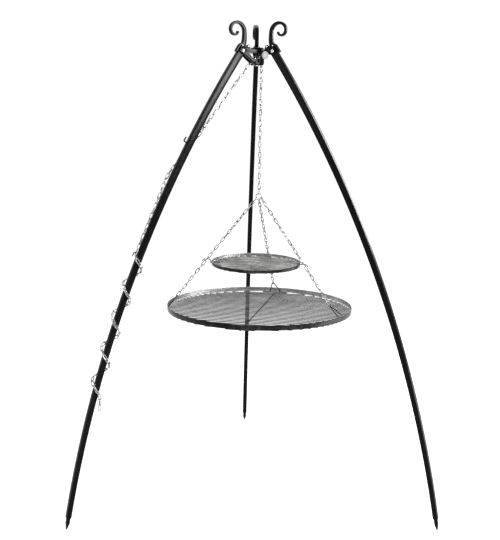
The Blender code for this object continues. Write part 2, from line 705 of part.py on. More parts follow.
def make_grate(size, radius, centre, tilt, rim_height, rod_radius, rod_pitch, origin):
    """A flat-bar rim with round rods under it, fused to one cross rod that lies below them."""
    lean = math.radians(tilt)
    east, up = Vector((1, 0, 0)), Vector((0, -math.sin(lean), math.cos(lean)))
    north = up.cross(east)
    profile = [(radius - RIM_THICK, 0.0), (radius, 0.0), (radius, rim_height), (radius - RIM_THICK, rim_height)]
    sides = RIM_SIDES[size]
    solid(size + "_rim", *revolve(profile, centre, up, east, sides), "grate_steel", origin)

    turn = math.radians(ROD_TURN)
    along = east * math.cos(turn) + north * math.sin(turn)
    across = north * math.cos(turn) - east * math.sin(turn)
    level = centre - up * (rod_radius + SEAT)
    verts, faces = [], []
    count = int((radius - rod_radius) / rod_pitch)
    reach = radius - ROD_SHORT
    for k in range(-count, count + 1):
        offset = k * rod_pitch
        half = math.sqrt(reach ** 2 - (abs(offset) + rod_radius) ** 2)
        line = [level + across * offset - along * half, level + across * offset + along * half]
        v, f = rod(line, rod_radius, 4, up)
        start = len(verts)
        verts += v
        faces += [tuple(start + i for i in face) for face in f]
    grid = solid(size + "_grid", verts, faces, "grate_steel", origin)
    below = level - up * (2 * rod_radius * math.cos(math.pi / 4) - FUSE_DEPTH)
    line = [below - across * reach * CROSS_ROD_SHARE, below + across * reach * CROSS_ROD_SHARE]
    combine(grid, solid("fuse_" + size + "_grid", *rod(line, rod_radius, 4, up), "grate_steel", origin), "UNION")


def hook_on_leg(name, s, shape):
    """A bent rod hook on the left leg's outer face; shape is (down the leg, out from its face)."""
    arm = ARMS["left"]
    face = tube_depth(s) / 2 + SEAT
    points = [leg_at(arm, s + ds, face + dn) for ds, dn in shape]
    solid(name, *rod(points, HOOK_WIRE, 6, arm.left), "zinc_steel", hinge_point("left"))


def make_left_leg_chain():
    """The working end: down from the pulley, round the leg's far side, to the hook, and wound below it."""
    arm, origin = ARMS["left"], hinge_point("left")
    route = pulley_contacts()[-1:]
    route.append(route[0] + (route[0] - pulley_contacts()[-2]) * 3)
    route += [leg_at(arm, s, n, t) for s, n, t in (
        (0.30, -0.0325, -0.003), (0.39, -0.0242, -0.009), (0.44, -0.0175, -0.0175), (0.50, -0.004, -0.0207),
        (0.555, 0.009, -0.0207), (0.605, 0.0211, -0.013), (0.655, 0.0232, -0.003), (0.72, 0.0221, 0.0),
        (0.82, FALL_OUT, 0.0), (CHAIN_HOOK_S + 0.05, FALL_OUT, 0.0))]
    contacts = step_along(smooth(route), PITCH)
    (_, _), (nr, nz) = leg_frame(CHAIN_HOOK_S)
    outward = arm.out * nr + Vector((0, 0, nz))

    # The fall ends with the flat link that the hook holds
    hook = leg_at(arm, CHAIN_HOOK_S, FALL_OUT)
    flat_ends = range(1, len(contacts), 2)
    last = min(flat_ends, key=lambda i: ((contacts[i] + contacts[i - 1]) / 2 - hook).length)
    contacts = contacts[:last + 1]
    chain("fall_chain", contacts, quarter_turns(contacts, outward), origin)
    held = (contacts[-2] + contacts[-1]) / 2
    hook_s = CHAIN_HOOK_S + (hook - held).dot((contacts[-2] - contacts[-1]).normalized()) + HOOK_LOW
    hook_on_leg("chain_hook", hook_s, CHAIN_HOOK)

    # Below the hook the tail winds round the leg, first across its near side
    start_s = hook_s - HOOK_LOW + PITCH / 2
    wrap = []
    for k in range(1, int(WRAP_TURNS * WRAP_POINTS) + 1):
        phase = 2 * math.pi * k / WRAP_POINTS
        c, w = math.cos(phase), math.sin(phase)
        ease = min(1.0, 4 * k / WRAP_POINTS)
        n = (FALL_OUT + (WRAP_OUT - FALL_OUT) * ease) * math.copysign(abs(c) ** WRAP_SQUARE, c)
        t = WRAP_SIDE * math.sqrt(ease) * math.copysign(abs(w) ** WRAP_SQUARE, w)
        wrap.append(leg_at(arm, start_s + WRAP_LEAD + WRAP_PITCH * k / WRAP_POINTS, n, t))
    wrap.append(wrap[-1] + Vector((0, 0, -TAIL_FREE)))
    tail = step_along(smooth([contacts[-1]] + wrap, 4), PITCH)

    def skewed(i):
        """Halfway between lying on the leg and standing off it, as a slack wound chain settles."""
        middle = (tail[i] + tail[i + 1]) / 2
        along = (tail[i + 1] - tail[i]).normalized()
        near = min((leg_at(arm, start_s + 0.01 * k) for k in range(120)), key=lambda p: (p - middle).length)
        off = middle - near
        off = (off - along * off.dot(along)).normalized()
        turn = math.radians(90 - WRAP_SKEW * min(1.0, i / WRAP_EASE_LINKS))
        return off * math.cos(turn) + along.cross(off) * math.sin(turn)

    chain("tail_chain", tail, quarter_turns(tail, skewed), origin)


def main():
    clear_scene()
    for side in AZIMUTH:
        make_leg(side)
    make_hub()
    make_pulley()
    make_pulley_chain()
    top = make_main_chain()
    make_hanger(top)
    centre = hang_centre(LARGE_SHIFT) + Vector((0, 0, LARGE_Z))
    make_grate("large", LARGE_R, centre, 0.0, LARGE_RIM_HEIGHT, LARGE_ROD, LARGE_ROD_PITCH, top)
    centre = hang_centre(SMALL_SHIFT) + Vector((0, 0, SMALL_Z))
    make_grate("small", SMALL_R, centre, SMALL_TILT, SMALL_RIM_HEIGHT, SMALL_ROD, SMALL_ROD_PITCH, top)
    hook_on_leg("tool_hook", TOOL_HOOK_S, TOOL_HOOK)
    make_left_leg_chain()


main()
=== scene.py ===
# %% [markdown]
# # A tripod grill, dressed for its picture
# Three bowed legs of square tube meet at a small hub, end in scroll tops, and carry two
# round grates on chains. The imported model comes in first. It fixes every size and joint,
# and each cell after it gives one kind of part its real surface.

import bpy
import numpy as np
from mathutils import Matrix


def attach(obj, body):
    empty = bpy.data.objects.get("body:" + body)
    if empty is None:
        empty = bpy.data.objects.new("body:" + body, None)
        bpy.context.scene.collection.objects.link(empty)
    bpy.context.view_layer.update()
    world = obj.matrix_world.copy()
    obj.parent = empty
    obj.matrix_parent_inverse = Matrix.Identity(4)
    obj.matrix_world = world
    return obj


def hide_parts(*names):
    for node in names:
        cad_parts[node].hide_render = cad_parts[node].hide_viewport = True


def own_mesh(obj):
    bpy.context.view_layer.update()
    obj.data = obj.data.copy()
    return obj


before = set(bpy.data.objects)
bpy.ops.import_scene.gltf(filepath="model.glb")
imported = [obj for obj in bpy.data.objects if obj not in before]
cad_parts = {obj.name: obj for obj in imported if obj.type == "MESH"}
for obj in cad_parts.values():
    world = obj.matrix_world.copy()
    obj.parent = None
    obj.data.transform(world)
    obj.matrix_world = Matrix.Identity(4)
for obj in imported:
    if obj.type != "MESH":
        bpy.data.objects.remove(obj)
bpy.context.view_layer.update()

# %% [markdown]
# ## The camera
# The photograph was taken from about 3.6 m away and 1.6 m up, looking a little down, and
# the camera leaned by one degree. Its place is worked out about the hub's axis, because the
# feet, the hub and the rims were all measured from there.

# %% Camera
HUB = np.array([0.0, -0.2116, 0.0])
CAMERA_OUT, CAMERA_SIDE, CAMERA_UP = 3.625, -0.0369, 1.606
CAMERA_PITCH, CAMERA_ROLL, CAMERA_YAW = 0.1688, -0.0160, -0.0297
FOCAL_PIXELS, FRAME_HEIGHT = 852.8, 540
SHIFT_RIGHT, SHIFT_DOWN = -5.2, -1.7


def added(name, data):
    """An object in the scene for a mesh, a lamp or a camera."""
    made = bpy.data.objects.new(name, data)
    bpy.context.scene.collection.objects.link(made)
    return made


def place_camera():
    """Right, up and back axes: turn by yaw about Z, tip down by pitch, then roll in the picture's plane."""
    from mathutils import Matrix
    c, s = np.cos(CAMERA_YAW), np.sin(CAMERA_YAW)
    right = np.array([c, s, 0.0])
    level = np.array([-s, c, 0.0])
    look = level * np.cos(CAMERA_PITCH) - np.array([0, 0, np.sin(CAMERA_PITCH)])
    up = np.cross(right, look)
    cr, sr = np.cos(CAMERA_ROLL), np.sin(CAMERA_ROLL)
    axes = np.array([cr * right - sr * up, sr * right + cr * up, -look]).T
    place = HUB + right * CAMERA_SIDE - level * CAMERA_OUT + np.array([0, 0, CAMERA_UP])
    world = np.eye(4)
    world[:3, :3], world[:3, 3] = axes, place
    lens = bpy.data.cameras.new("camera")
    lens.sensor_width = 36.0
    lens.lens = 36.0 * FOCAL_PIXELS / FRAME_HEIGHT
    lens.shift_x, lens.shift_y = -SHIFT_RIGHT / FRAME_HEIGHT, SHIFT_DOWN / FRAME_HEIGHT
    lens.clip_end = 60.0
    camera = added("camera", lens)
    camera.matrix_world = Matrix(world.tolist())
    bpy.context.scene.camera = camera
    return camera


camera = place_camera()
print("lens", round(camera.data.lens, 2), "mm")

# %% [markdown]
# ## Surfaces from grids
# Every new piece is a grid of points: rows run along the piece and columns run round it. One
# helper turns the grid into a mesh, closes it round either way, and caps open ends. It also
# stores the distance along and round in a UV map, so that brushed marks can follow the metal.

# %% Grid to mesh
def surface(name, grids, wrap_rows=False, caps=True, sharp=35.0):
    """A mesh from grids of shape (pieces, rows, columns, 3). Columns always close round; rows may."""
    grids = np.asarray(grids, float)
    if grids.ndim == 3:
        grids = grids[None]
    count, rows, cols, _ = grids.shape
    row_a = np.arange(rows if wrap_rows else rows - 1)
    row_b, col_a = (row_a + 1) % rows, np.arange(cols)
    col_b = (col_a + 1) % cols
    quads = np.stack([row_a[:, None] * cols + col_a, row_a[:, None] * cols + col_b,
                      row_b[:, None] * cols + col_b, row_b[:, None] * cols + col_a], -1).reshape(-1, 4)
    offsets = np.arange(count)[:, None, None] * rows * cols
    loops, sizes = (quads[None] + offsets).reshape(-1), [np.full(count * len(quads), 4)]
    if caps and not wrap_rows:
        ends = np.stack([col_a[::-1], (rows - 1) * cols + col_a])
        loops = np.concatenate([loops, (ends[None] + offsets).reshape(-1)])
        sizes.append(np.full(count * 2, cols))
    sizes = np.concatenate(sizes)
    mesh = bpy.data.meshes.new(name)
    mesh.vertices.add(count * rows * cols)
    mesh.vertices.foreach_set("co", grids.reshape(-1))
    mesh.loops.add(len(loops))
    mesh.loops.foreach_set("vertex_index", loops.astype(np.int32))
    mesh.polygons.add(len(sizes))
    starts = np.concatenate([[0], np.cumsum(sizes)[:-1]])
    mesh.polygons.foreach_set("loop_start", starts.astype(np.int32))
    mesh.update(calc_edges=True)
    mesh.polygons.foreach_set("use_smooth", np.ones(len(sizes), bool))
    add_uv(mesh, grids, loops)
    mesh.validate()
    if signed_volume(mesh) < 0:
        mesh.flip_normals()
    mesh.set_sharp_from_angle(angle=np.radians(sharp))
    return added(name, mesh)


def add_uv(mesh, grids, loops):
    """U is the distance along the rows and V the distance round the columns, both in metres."""
    along = np.linalg.norm(np.diff(grids, axis=1), axis=-1).mean(-1)
    along = np.concatenate([np.zeros((len(grids), 1)), np.cumsum(along, 1)], 1)
    round_it = np.linalg.norm(np.diff(grids, axis=2), axis=-1).mean(1)
    round_it = np.concatenate([np.zeros((len(grids), 1)), np.cumsum(round_it, 1)], 1)
    u = np.broadcast_to(along[:, :, None], grids.shape[:3]) + np.arange(len(grids))[:, None, None] * 0.37
    v = np.broadcast_to(round_it[:, None, :], grids.shape[:3])
    layer = mesh.uv_layers.new(name="along_and_round")
    layer.data.foreach_set("uv", np.stack([u.reshape(-1)[loops], v.reshape(-1)[loops]], -1).reshape(-1))


def signed_volume(mesh):
    """The sum over triangles of a . (b x c) / 6, which is negative where faces point inwards."""
    mesh.calc_loop_triangles()
    points = np.empty(len(mesh.vertices) * 3)
    mesh.vertices.foreach_get("co", points)
    corners = np.empty(len(mesh.loop_triangles) * 3, np.int32)
    mesh.loop_triangles.foreach_get("vertices", corners)
    a, b, c = points.reshape(-1, 3)[corners.reshape(-1, 3)].transpose(1, 0, 2)
    return float(np.einsum("ij,ij->", a, np.cross(b, c)) / 6)


print("surface helper ready")

# %% [markdown]
# ## Sweeps and turned shapes
# Bars, rods and rings are all a profile carried along a path. Where the path bends, the
# profile stands square to it. A turned shape is the same thing with a circle for a path.

# %% Profiles and paths
UP = np.array([0.0, 0.0, 1.0])


def unit(v):
    """Vectors divided by their own lengths."""
    return v / np.linalg.norm(v, axis=-1, keepdims=True)


def circle(radius, sides):
    """Points round a circle: radius times the cosine and sine of even angles."""
    turn = 2 * np.pi * np.arange(sides) / sides
    return np.stack([radius * np.cos(turn), radius * np.sin(turn)], -1)


def rounded_bar(deep, wide, corner, per_corner=4):
    """A rectangle whose corners are quarter circles: each corner's centre plus its own arc."""
    turn = np.linspace(0, np.pi / 2, per_corner)
    arcs = np.stack([np.cos(turn), np.sin(turn)], -1)
    spin = np.array([[[1, 0], [0, 1]], [[0, 1], [-1, 0]], [[-1, 0], [0, -1]], [[0, -1], [1, 0]]])
    signs = np.array([[1, 1], [-1, 1], [-1, -1], [1, -1]])
    centres = signs * np.array([deep / 2 - corner, wide / 2 - corner])
    return (centres[:, None, :] + corner * (arcs @ spin)).reshape(-1, 2)


def tangents(path):
    """The mean direction of the two runs that meet at each point of a path."""
    step = unit(np.diff(path, axis=0))
    return unit(np.concatenate([step[:1], step]) + np.concatenate([step, step[-1:]]))


def sweep(path, profile, across):
    """Carries a profile along a path: each point goes out by its first number, square to path and across,
    and sideways along across by its second."""
    profile = np.broadcast_to(profile, (len(path), *np.shape(profile)[-2:]))
    across = unit(across - tangents(path) * np.sum(tangents(path) * across, -1, keepdims=True))
    out = np.cross(tangents(path), across)
    return path[:, None] + out[:, None] * profile[..., :1] + across[:, None] * profile[..., 1:]


def spokes(axis, side, steps):
    """Directions at even angles round an axis: cosine times side plus sine times the direction square to both."""
    turn = 2 * np.pi * np.arange(steps) / steps
    return np.cos(turn)[:, None] * side + np.sin(turn)[:, None] * np.cross(axis, side)


def turned(profile, centre, axis, steps, side=None):
    """Turns a profile of (radius, height) round an axis; rows go round, columns follow the profile."""
    axis = unit(np.asarray(axis, float))
    if side is None:
        side = unit(np.cross(axis, [0.3, 0.2, 1.0] if abs(axis[2]) < 0.9 else [1.0, 0, 0]))
    return centre + spokes(axis, side, steps)[:, None] * profile[None, :, :1] + axis * profile[None, :, 1:]


def bend(start, corner, end, steps):
    """Smooth bends: each leaves start towards its corner and comes in to end from it."""
    t = np.linspace(0, 1, steps)[None, :, None]
    return (1 - t) ** 2 * start[:, None] + 2 * t * (1 - t) * corner[:, None] + t ** 2 * end[:, None]


def bent(points, radius, steps=6):
    """A path with each inner corner replaced by a smooth bend of about the given radius."""
    points = np.asarray(points, float)
    before, corner, after = points[:-2], points[1:-1], points[2:]
    reach = np.minimum(radius, 0.45 * np.minimum(np.linalg.norm(before - corner, axis=1),
                                                 np.linalg.norm(after - corner, axis=1)))[:, None]
    start, end = corner + unit(before - corner) * reach, corner + unit(after - corner) * reach
    return np.concatenate([points[:1], bend(start, corner, end, steps).reshape(-1, 3), points[-1:]])


def domed_ends(path, profile, across, reach):
    """A sweep whose two ends round over: the last rows shrink along a quarter circle."""
    grid = sweep(path, profile, across)
    shrink = np.array([0.35, 0.75, 0.95])[:, None, None]
    ahead = np.array([1.0, 0.75, 0.35])[:, None, None] * reach
    start, end, t = path[0], path[-1], tangents(path)
    first = start + (grid[0] - start) * shrink - t[0] * ahead
    last = end + (grid[-1] - end) * shrink[::-1] + t[-1] * ahead[::-1]
    return np.concatenate([first, grid, last])


print("bar profile", rounded_bar(0.02, 0.02, 0.003).shape)

# %% [markdown]
# ## Finishes: shared effects
# Painted and bare steel share three effects: soft patches of handling and dust, fine streaks
# that run along the metal, and the small waviness of paint or plating. Each is a node group
# that gives out a mask or a height, so every material can use it in its own strength.

# %% Node helpers
def group(name, inputs, outputs):
    """A shader node group with float inputs (name, value) and float outputs."""
    made = bpy.data.node_groups.new(name, "ShaderNodeTree")
    for title, value in inputs:
        made.interface.new_socket(title, in_out="INPUT", socket_type="NodeSocketFloat").default_value = value
    for title in outputs:
        made.interface.new_socket(title, in_out="OUTPUT", socket_type="NodeSocketFloat")
    return made, made.nodes.new("NodeGroupInput"), made.nodes.new("NodeGroupOutput")


def add_node(tree, kind, inputs, operation=None):
    """A shader node. Each of its inputs is set to a value, or linked where another node's socket is given."""
    made = tree.nodes.new(kind)
    if operation:
        made.operation = operation
    for title, value in inputs.items():
        if isinstance(value, bpy.types.NodeSocket):
            tree.links.new(value, made.inputs[title])
        else:
            made.inputs[title].default_value = value
    return made


def sums(tree, operation, *values):
    """One step of arithmetic on numbers or sockets."""
    return add_node(tree, "ShaderNodeMath", dict(enumerate(values)), operation).outputs[0]


def ranged(tree, value, low=0.0, high=1.0, to_low=0.0, to_high=1.0):
    """Stretches low..high to to_low..to_high and holds it there."""
    return add_node(tree, "ShaderNodeMapRange", {"Value": value, "From Min": low, "From Max": high,
                                                 "To Min": to_low, "To Max": to_high}).outputs["Result"]


def noise(tree, vector, scale, detail, rough):
    """Cloudy noise from 0 to 1, with more small clouds where detail and rough are higher."""
    return add_node(tree, "ShaderNodeTexNoise", {"Vector": vector, "Scale": scale, "Detail": detail,
                                                 "Roughness": rough}).outputs["Fac"]


def coordinates(tree, kind):
    """Where a point lies: in metres on the Object, or on the piece's own UV map."""
    return tree.nodes.new("ShaderNodeTexCoord").outputs[kind]


print("node helpers ready")

# %% The three effects
FINER, COARSE_WAVES = 9.0, 90.0


def patches_group():
    """Broad cloudy patches broken up by finer ones: the product of two noises, stretched to a mask."""
    made, start, end = group("handling_patches", [("Scale", 6.0), ("Contrast", 0.5)], ["Mask"])
    place, scale = coordinates(made, "Object"), start.outputs["Scale"]
    broad = noise(made, place, scale, 3.0, 0.55)
    fine = noise(made, place, sums(made, "MULTIPLY", scale, FINER), 6.0, 0.65)
    both = sums(made, "MULTIPLY", broad, fine)
    made.links.new(ranged(made, both, 0.16, 0.36, 0.0, start.outputs["Contrast"]), end.inputs["Mask"])
    return made


def streaks_group():
    """Streaks along the metal: noise on the UV map, drawn out along U by using few waves that way."""
    made, start, end = group("drawn_streaks", [("Along", 4.0), ("Round", 900.0)], ["Mask"])
    split = add_node(made, "ShaderNodeSeparateXYZ", {0: coordinates(made, "UV")}).outputs
    waves = {axis: sums(made, "MULTIPLY", split[axis], start.outputs[title])
             for axis, title in (("X", "Along"), ("Y", "Round"))}
    fine = noise(made, add_node(made, "ShaderNodeCombineXYZ", waves).outputs[0], 1.0, 5.0, 0.6)
    made.links.new(ranged(made, fine, 0.3, 0.7), end.inputs["Mask"])
    return made


def relief_group():
    """Small waves of a coating: fine noise plus a coarser one."""
    made, start, end = group("coating_relief", [("Scale", 700.0)], ["Height"])
    place = coordinates(made, "Object")
    fine, coarse = (noise(made, place, scale, 2.0, 0.5) for scale in (start.outputs["Scale"], COARSE_WAVES))
    made.links.new(sums(made, "ADD", fine, coarse), end.inputs["Height"])
    return made


PATCHES, STREAKS, RELIEF = patches_group(), streaks_group(), relief_group()
print("groups", [g.name for g in (PATCHES, STREAKS, RELIEF)])

# %% [markdown]
# ## Finishes: the metals
# The stand, its two hooks and the pulley's axle are satin black paint, a little dusty and worn
# greyer where hands and chains rub it. The chains, the ring and the pulley are zinc plated.
# The rods are bare steel, streaked along their length, with those of the small grate cleaner.
# The rims are darker outside and lighter inside, which an attribute on the mesh tells the colour.
# That split is painted: the lighter inner face is a painted reflection, and the near-black outer
# face is painted shade. The bolts are bright, the plain disc is duller, and the cross rods are
# dark, a painted shade for their place under the rods.

# %% How a finish is made
def ramp(tree, factor, stops):
    """Colours along a factor, from stops of (place, red, green, blue)."""
    made = add_node(tree, "ShaderNodeValToRGB", {"Fac": factor})
    colours = made.color_ramp.elements
    for at, (place, *colour) in enumerate((stops[0], stops[-1])):
        colours[at].position, colours[at].color = place, (*colour, 1)
    for place, *colour in stops[1:-1]:
        colours.new(place).color = (*colour, 1)
    return made.outputs["Color"]


def effect(tree, shared, *values):
    """Places a shared group in a material with its own values, and gives what the group puts out."""
    made = tree.nodes.new("ShaderNodeGroup")
    made.node_tree = shared
    for place, value in enumerate(values):
        made.inputs[place].default_value = value
    return made.outputs[0]


def finish(name, stops, rough, patch, relief, streak=None, metallic=1.0, shine=0.5):
    """A finish: colour and roughness follow the patches and streaks, and the relief gives the bump.
    Rough is the roughness at the mask's two ends. Patch is a scale and a contrast. Relief is a scale, a
    strength and a depth. Streak is the number of waves along and round, and their strength in the mask."""
    made = bpy.data.materials.new(name)
    made.use_nodes = True
    tree = made.node_tree
    shader = tree.nodes["Principled BSDF"].inputs
    shader["Metallic"].default_value, shader["Specular IOR Level"].default_value = metallic, shine
    mask, height = effect(tree, PATCHES, *patch), effect(tree, RELIEF, relief[0])
    if streak:
        lines = effect(tree, STREAKS, *streak[:2])
        mask, height = sums(tree, "MULTIPLY_ADD", lines, streak[2], mask), sums(tree, "ADD", height, lines)
    bump = add_node(tree, "ShaderNodeBump", {"Strength": relief[1], "Distance": relief[2], "Height": height})
    tree.links.new(ramp(tree, mask, stops), shader["Base Color"])
    tree.links.new(ranged(tree, mask, 0.0, 1.0, *rough), shader["Roughness"])
    tree.links.new(bump.outputs["Normal"], shader["Normal"])
    return made


print("a finish uses", [g.name for g in (PATCHES, STREAKS, RELIEF)])

# %% The grill's finishes
BLACK_PAINT = finish("satin_black_paint",
                     [(0.0, 0.0012, 0.0012, 0.0013), (0.6, 0.0025, 0.0025, 0.0026), (1.0, 0.007, 0.0069, 0.0067)],
                     (0.17, 0.28), (7.0, 0.9), (520.0, 0.08, 0.0003), metallic=0.0, shine=0.08)
ZINC = finish("zinc_plated_chain", [(0.0, 0.06, 0.06, 0.064), (0.5, 0.27, 0.27, 0.277), (1.0, 0.72, 0.72, 0.72)],
              (0.20, 0.36), (70.0, 1.0), (900.0, 0.2, 0.0002))
# The rim's near-black outer colour is painted shade, and the lighter inner colour set below is a painted reflection.
RIM_STEEL = finish("rim_steel", [(0.0, 0.004, 0.004, 0.004), (0.5, 0.014, 0.014, 0.0137), (1.0, 0.05, 0.05, 0.049)],
                   (0.24, 0.40), (9.0, 0.6), (500.0, 0.2, 0.0003), streak=(3.0, 1400.0, 0.55))
ROD_STEEL = finish("rod_steel",
                   [(0.0, 0.006, 0.0059, 0.0058), (0.45, 0.036, 0.0356, 0.0352), (1.0, 0.165, 0.163, 0.161)],
                   (0.24, 0.42), (11.0, 0.3), (800.0, 0.2, 0.0002), streak=(5.0, 15.0, 0.85))
CLEAN_ROD_STEEL = finish("clean_rod_steel",
                         [(0.0, 0.04, 0.0395, 0.0385), (0.45, 0.13, 0.129, 0.127), (1.0, 0.40, 0.397, 0.39)],
                         (0.24, 0.42), (11.0, 0.3), (800.0, 0.2, 0.0002), streak=(7.0, 15.0, 0.85))
BRIGHT = finish("bright_bolt_steel", [(0.0, 0.42, 0.42, 0.42), (1.0, 0.68, 0.68, 0.67)],
                (0.22, 0.36), (40.0, 0.8), (900.0, 0.15, 0.0001))
DULL = finish("dull_disc_steel", [(0.0, 0.38, 0.38, 0.38), (1.0, 0.50, 0.50, 0.49)],
              (0.30, 0.42), (60.0, 0.9), (900.0, 0.2, 0.0001))
# The cross rods' dark colour is painted shade for their place under the rods.
CROSS_ROD_SHADE = finish("cross_rod_painted_shade", [(0.0, 0.006, 0.006, 0.006), (1.0, 0.030, 0.0295, 0.029)],
                    (0.30, 0.46), (12.0, 0.8), (600.0, 0.2, 0.0002))
print("finishes", [m.name for m in bpy.data.materials])

# %% The rims' lighter inner face, a painted reflection
def paint_inner_reflection(material, stops):
    """Where the attribute "inside" is one, the colour comes from other, lighter stops along the same mask, a painted
    reflection.
    """
    tree = material.node_tree
    colour = tree.nodes["Principled BSDF"].inputs["Base Color"]
    outer = colour.links[0].from_socket
    inner = ramp(tree, outer.node.inputs["Fac"].links[0].from_socket, stops)
    inside = tree.nodes.new("ShaderNodeAttribute")
    inside.attribute_name = "inside"
    mix = tree.nodes.new("ShaderNodeMix")
    mix.data_type = "RGBA"
    for place, value in (("Factor", inside.outputs["Fac"]), (6, outer), (7, inner)):
        tree.links.new(value, mix.inputs[place])
    tree.links.new(mix.outputs[2], colour)


# These lighter stops are a painted reflection on the rims' inner face.
paint_inner_reflection(RIM_STEEL, [(0.0, 0.14, 0.14, 0.137), (0.5, 0.27, 0.267, 0.263), (1.0, 0.44, 0.44, 0.433)])
print("rim colours feed", RIM_STEEL.name)

# %% [markdown]
# ## Dressing a piece
# Every new piece gets one finish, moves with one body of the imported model, and stands for the
# model's own nodes, which are then hidden. One helper does this, so that no piece is left out.

# %% Dressing
def dress(piece, material, body, nodes=()):
    """Gives a finished piece its material, its body and the model's nodes that it stands for."""
    piece.data.materials.clear()
    piece.data.materials.append(material)
    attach(piece, body)
    if nodes:
        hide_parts(*nodes)
    return piece


def built(name, grid, material, body, nodes, slot, **how):
    """A surface made from its grid and dressed at once."""
    return dress(surface(name, grid, **how), material, body, nodes)


# %% [markdown]
# ## The legs
# Each leg is an upper and a lower square tube on one shallow arc, deeper at the hinge than at
# the foot. A tube is drawn as one skin that runs down outside, turns in at the end and comes
# back up inside, so that its open ends show a real wall. The corners are rounded as rolled
# tube is, because that edge is what catches the light on black paint.

# %% Leg tubes
HINGE_R, HINGE_Z, FOOT_R, LEG_BOW = 0.0766, 1.8965, 0.8586, 0.112
AZIMUTH = {"left": np.radians(210), "right": np.radians(330), "back": np.radians(90)}
TUBE_WIDTH, TUBE_TOP, TUBE_FOOT, TUBE_WALL = 0.0205, 0.030, 0.0192, 0.002
OUTER_CORNER, INNER_CORNER = 0.0020, 0.0010
TUBE_START, LEG_JOINT, SPIKE_SHOWN, SEAT = -0.012, 0.70, 0.047, 0.0003

chord = np.hypot(FOOT_R - HINGE_R, HINGE_Z)
half_turn = 2 * np.arctan(2 * LEG_BOW / chord)
arc_radius = chord / (2 * np.sin(half_turn))
LEG_LENGTH = 2 * half_turn * arc_radius
top_angle = np.arctan2(FOOT_R - HINGE_R, HINGE_Z) + half_turn


def arm_point(side, r, z, t=0.0):
    """A point r out from the hub's axis, t to the left of that direction and z up."""
    a, (r, z, t) = AZIMUTH[side], np.broadcast_arrays(np.asarray(r, float), z, t)
    return HUB + np.stack([r * np.cos(a) - t * np.sin(a), r * np.sin(a) + t * np.cos(a), z], -1)


def leg_line(s, n=0.0):
    """Radius and height of a place s down the leg's arc from its hinge and n outwards from the leg."""
    turn = top_angle - np.asarray(s, float) / arc_radius
    return (HINGE_R + arc_radius * (np.cos(turn) - np.cos(top_angle)) + n * np.cos(turn),
            HINGE_Z + arc_radius * (np.sin(turn) - np.sin(top_angle)) + n * np.sin(turn))


def leg_point(side, s, n=0.0, t=0.0):
    """The same place as a point, t to the leg's left."""
    return arm_point(side, *leg_line(s, n), t)


def left_of(side):
    """The level direction square to a leg's own, to its left."""
    return np.array([-np.sin(AZIMUTH[side]), np.cos(AZIMUTH[side]), 0.0])


def tube_depth(s):
    """The tube's depth, which falls in a straight line from the hinge to the foot."""
    return TUBE_TOP + (TUBE_FOOT - TUBE_TOP) * np.maximum(s, 0) / LEG_LENGTH


def tube_grid(side, s, depth, width, corner):
    """Rounded bars square to the leg's arc, one at each distance s."""
    profile = np.stack([rounded_bar(d, width, corner) for d in depth])
    middle = leg_point(side, s)
    out = unit(leg_point(side, s, 1.0) - middle)
    return middle[:, None] + out[:, None] * profile[..., :1] + left_of(side) * profile[..., 1:]


def tube(name, side, s):
    """Outside rows down the leg and inside rows back up, closed into one skin."""
    outer = tube_grid(side, s, tube_depth(s), TUBE_WIDTH, OUTER_CORNER)
    inner = tube_grid(side, s, tube_depth(s) - 2 * TUBE_WALL, TUBE_WIDTH - 2 * TUBE_WALL, INNER_CORNER)
    return surface(name, np.concatenate([outer, inner[::-1]]), wrap_rows=True)


foot_end = LEG_LENGTH - SPIKE_SHOWN
TUBES = {"upper": np.linspace(TUBE_START, LEG_JOINT, 60), "lower": np.linspace(LEG_JOINT + SEAT, foot_end, 90)}
for side in AZIMUTH:
    for part, s in TUBES.items():
        skin = tube(f"{part}_tube_{side}", side, s)
        dress(skin, BLACK_PAINT, side + "_leg", [f"leg_{part}_{side}"])
print("leg length", round(float(LEG_LENGTH), 3), "arc radius", round(float(arc_radius), 2))

# %% [markdown]
# ## The spikes
# The foot spike is a short bar that stands in the tube and is forged to a blunt point. Its
# section is a rounded bar whose size stays even for the plug and then shrinks towards the
# ground, so one grid with a size for each row is enough.

# %% Foot spikes
SPIKE_DEPTH, SPIKE_WIDTH, SPIKE_TIP = 0.0142, 0.0158, 0.0050
SPIKE_PLUG, SPIKE_STRAIGHT, SPIKE_CORNER, TIP_CORNER = 0.022, 0.024, 0.0022, 0.0016


def spike_grid(side):
    """Even bar down to the taper, then sizes that fall in a straight line to the small flat tip."""
    s = np.concatenate([np.linspace(-SPIKE_PLUG, SPIKE_STRAIGHT, 8),
                        np.linspace(SPIKE_STRAIGHT, SPIKE_SHOWN, 10)[1:]])
    share = np.clip((s - SPIKE_STRAIGHT) / (SPIKE_SHOWN - SPIKE_STRAIGHT), 0, 1)
    sizes = (a + (b - a) * share for a, b in ((SPIKE_DEPTH, SPIKE_TIP), (SPIKE_WIDTH, SPIKE_TIP),
                                              (SPIKE_CORNER, TIP_CORNER)))
    profile = np.stack([rounded_bar(*size) for size in zip(*sizes)])
    base = leg_point(side, foot_end + np.minimum(s, SPIKE_STRAIGHT))
    tip = arm_point(side, FOOT_R, 0.0)
    middle = base + (tip - base) * share[:, None]
    out = unit(leg_point(side, foot_end + s, 1.0) - leg_point(side, foot_end + s))
    level = arm_point(side, 1.0, 0.0) - arm_point(side, 0.0, 0.0)
    out = unit(out + (level - out) * share[:, None])
    return middle[:, None] + out[:, None] * profile[..., :1] + left_of(side) * profile[..., 1:]


for side in AZIMUTH:
    built("foot_spike_" + side, spike_grid(side), BLACK_PAINT, side + "_leg", ["spike_" + side], "black_paint")
print("spike tips at z", [round(float(spike_grid(s)[-1, :, 2].min()), 4) for s in AZIMUTH])

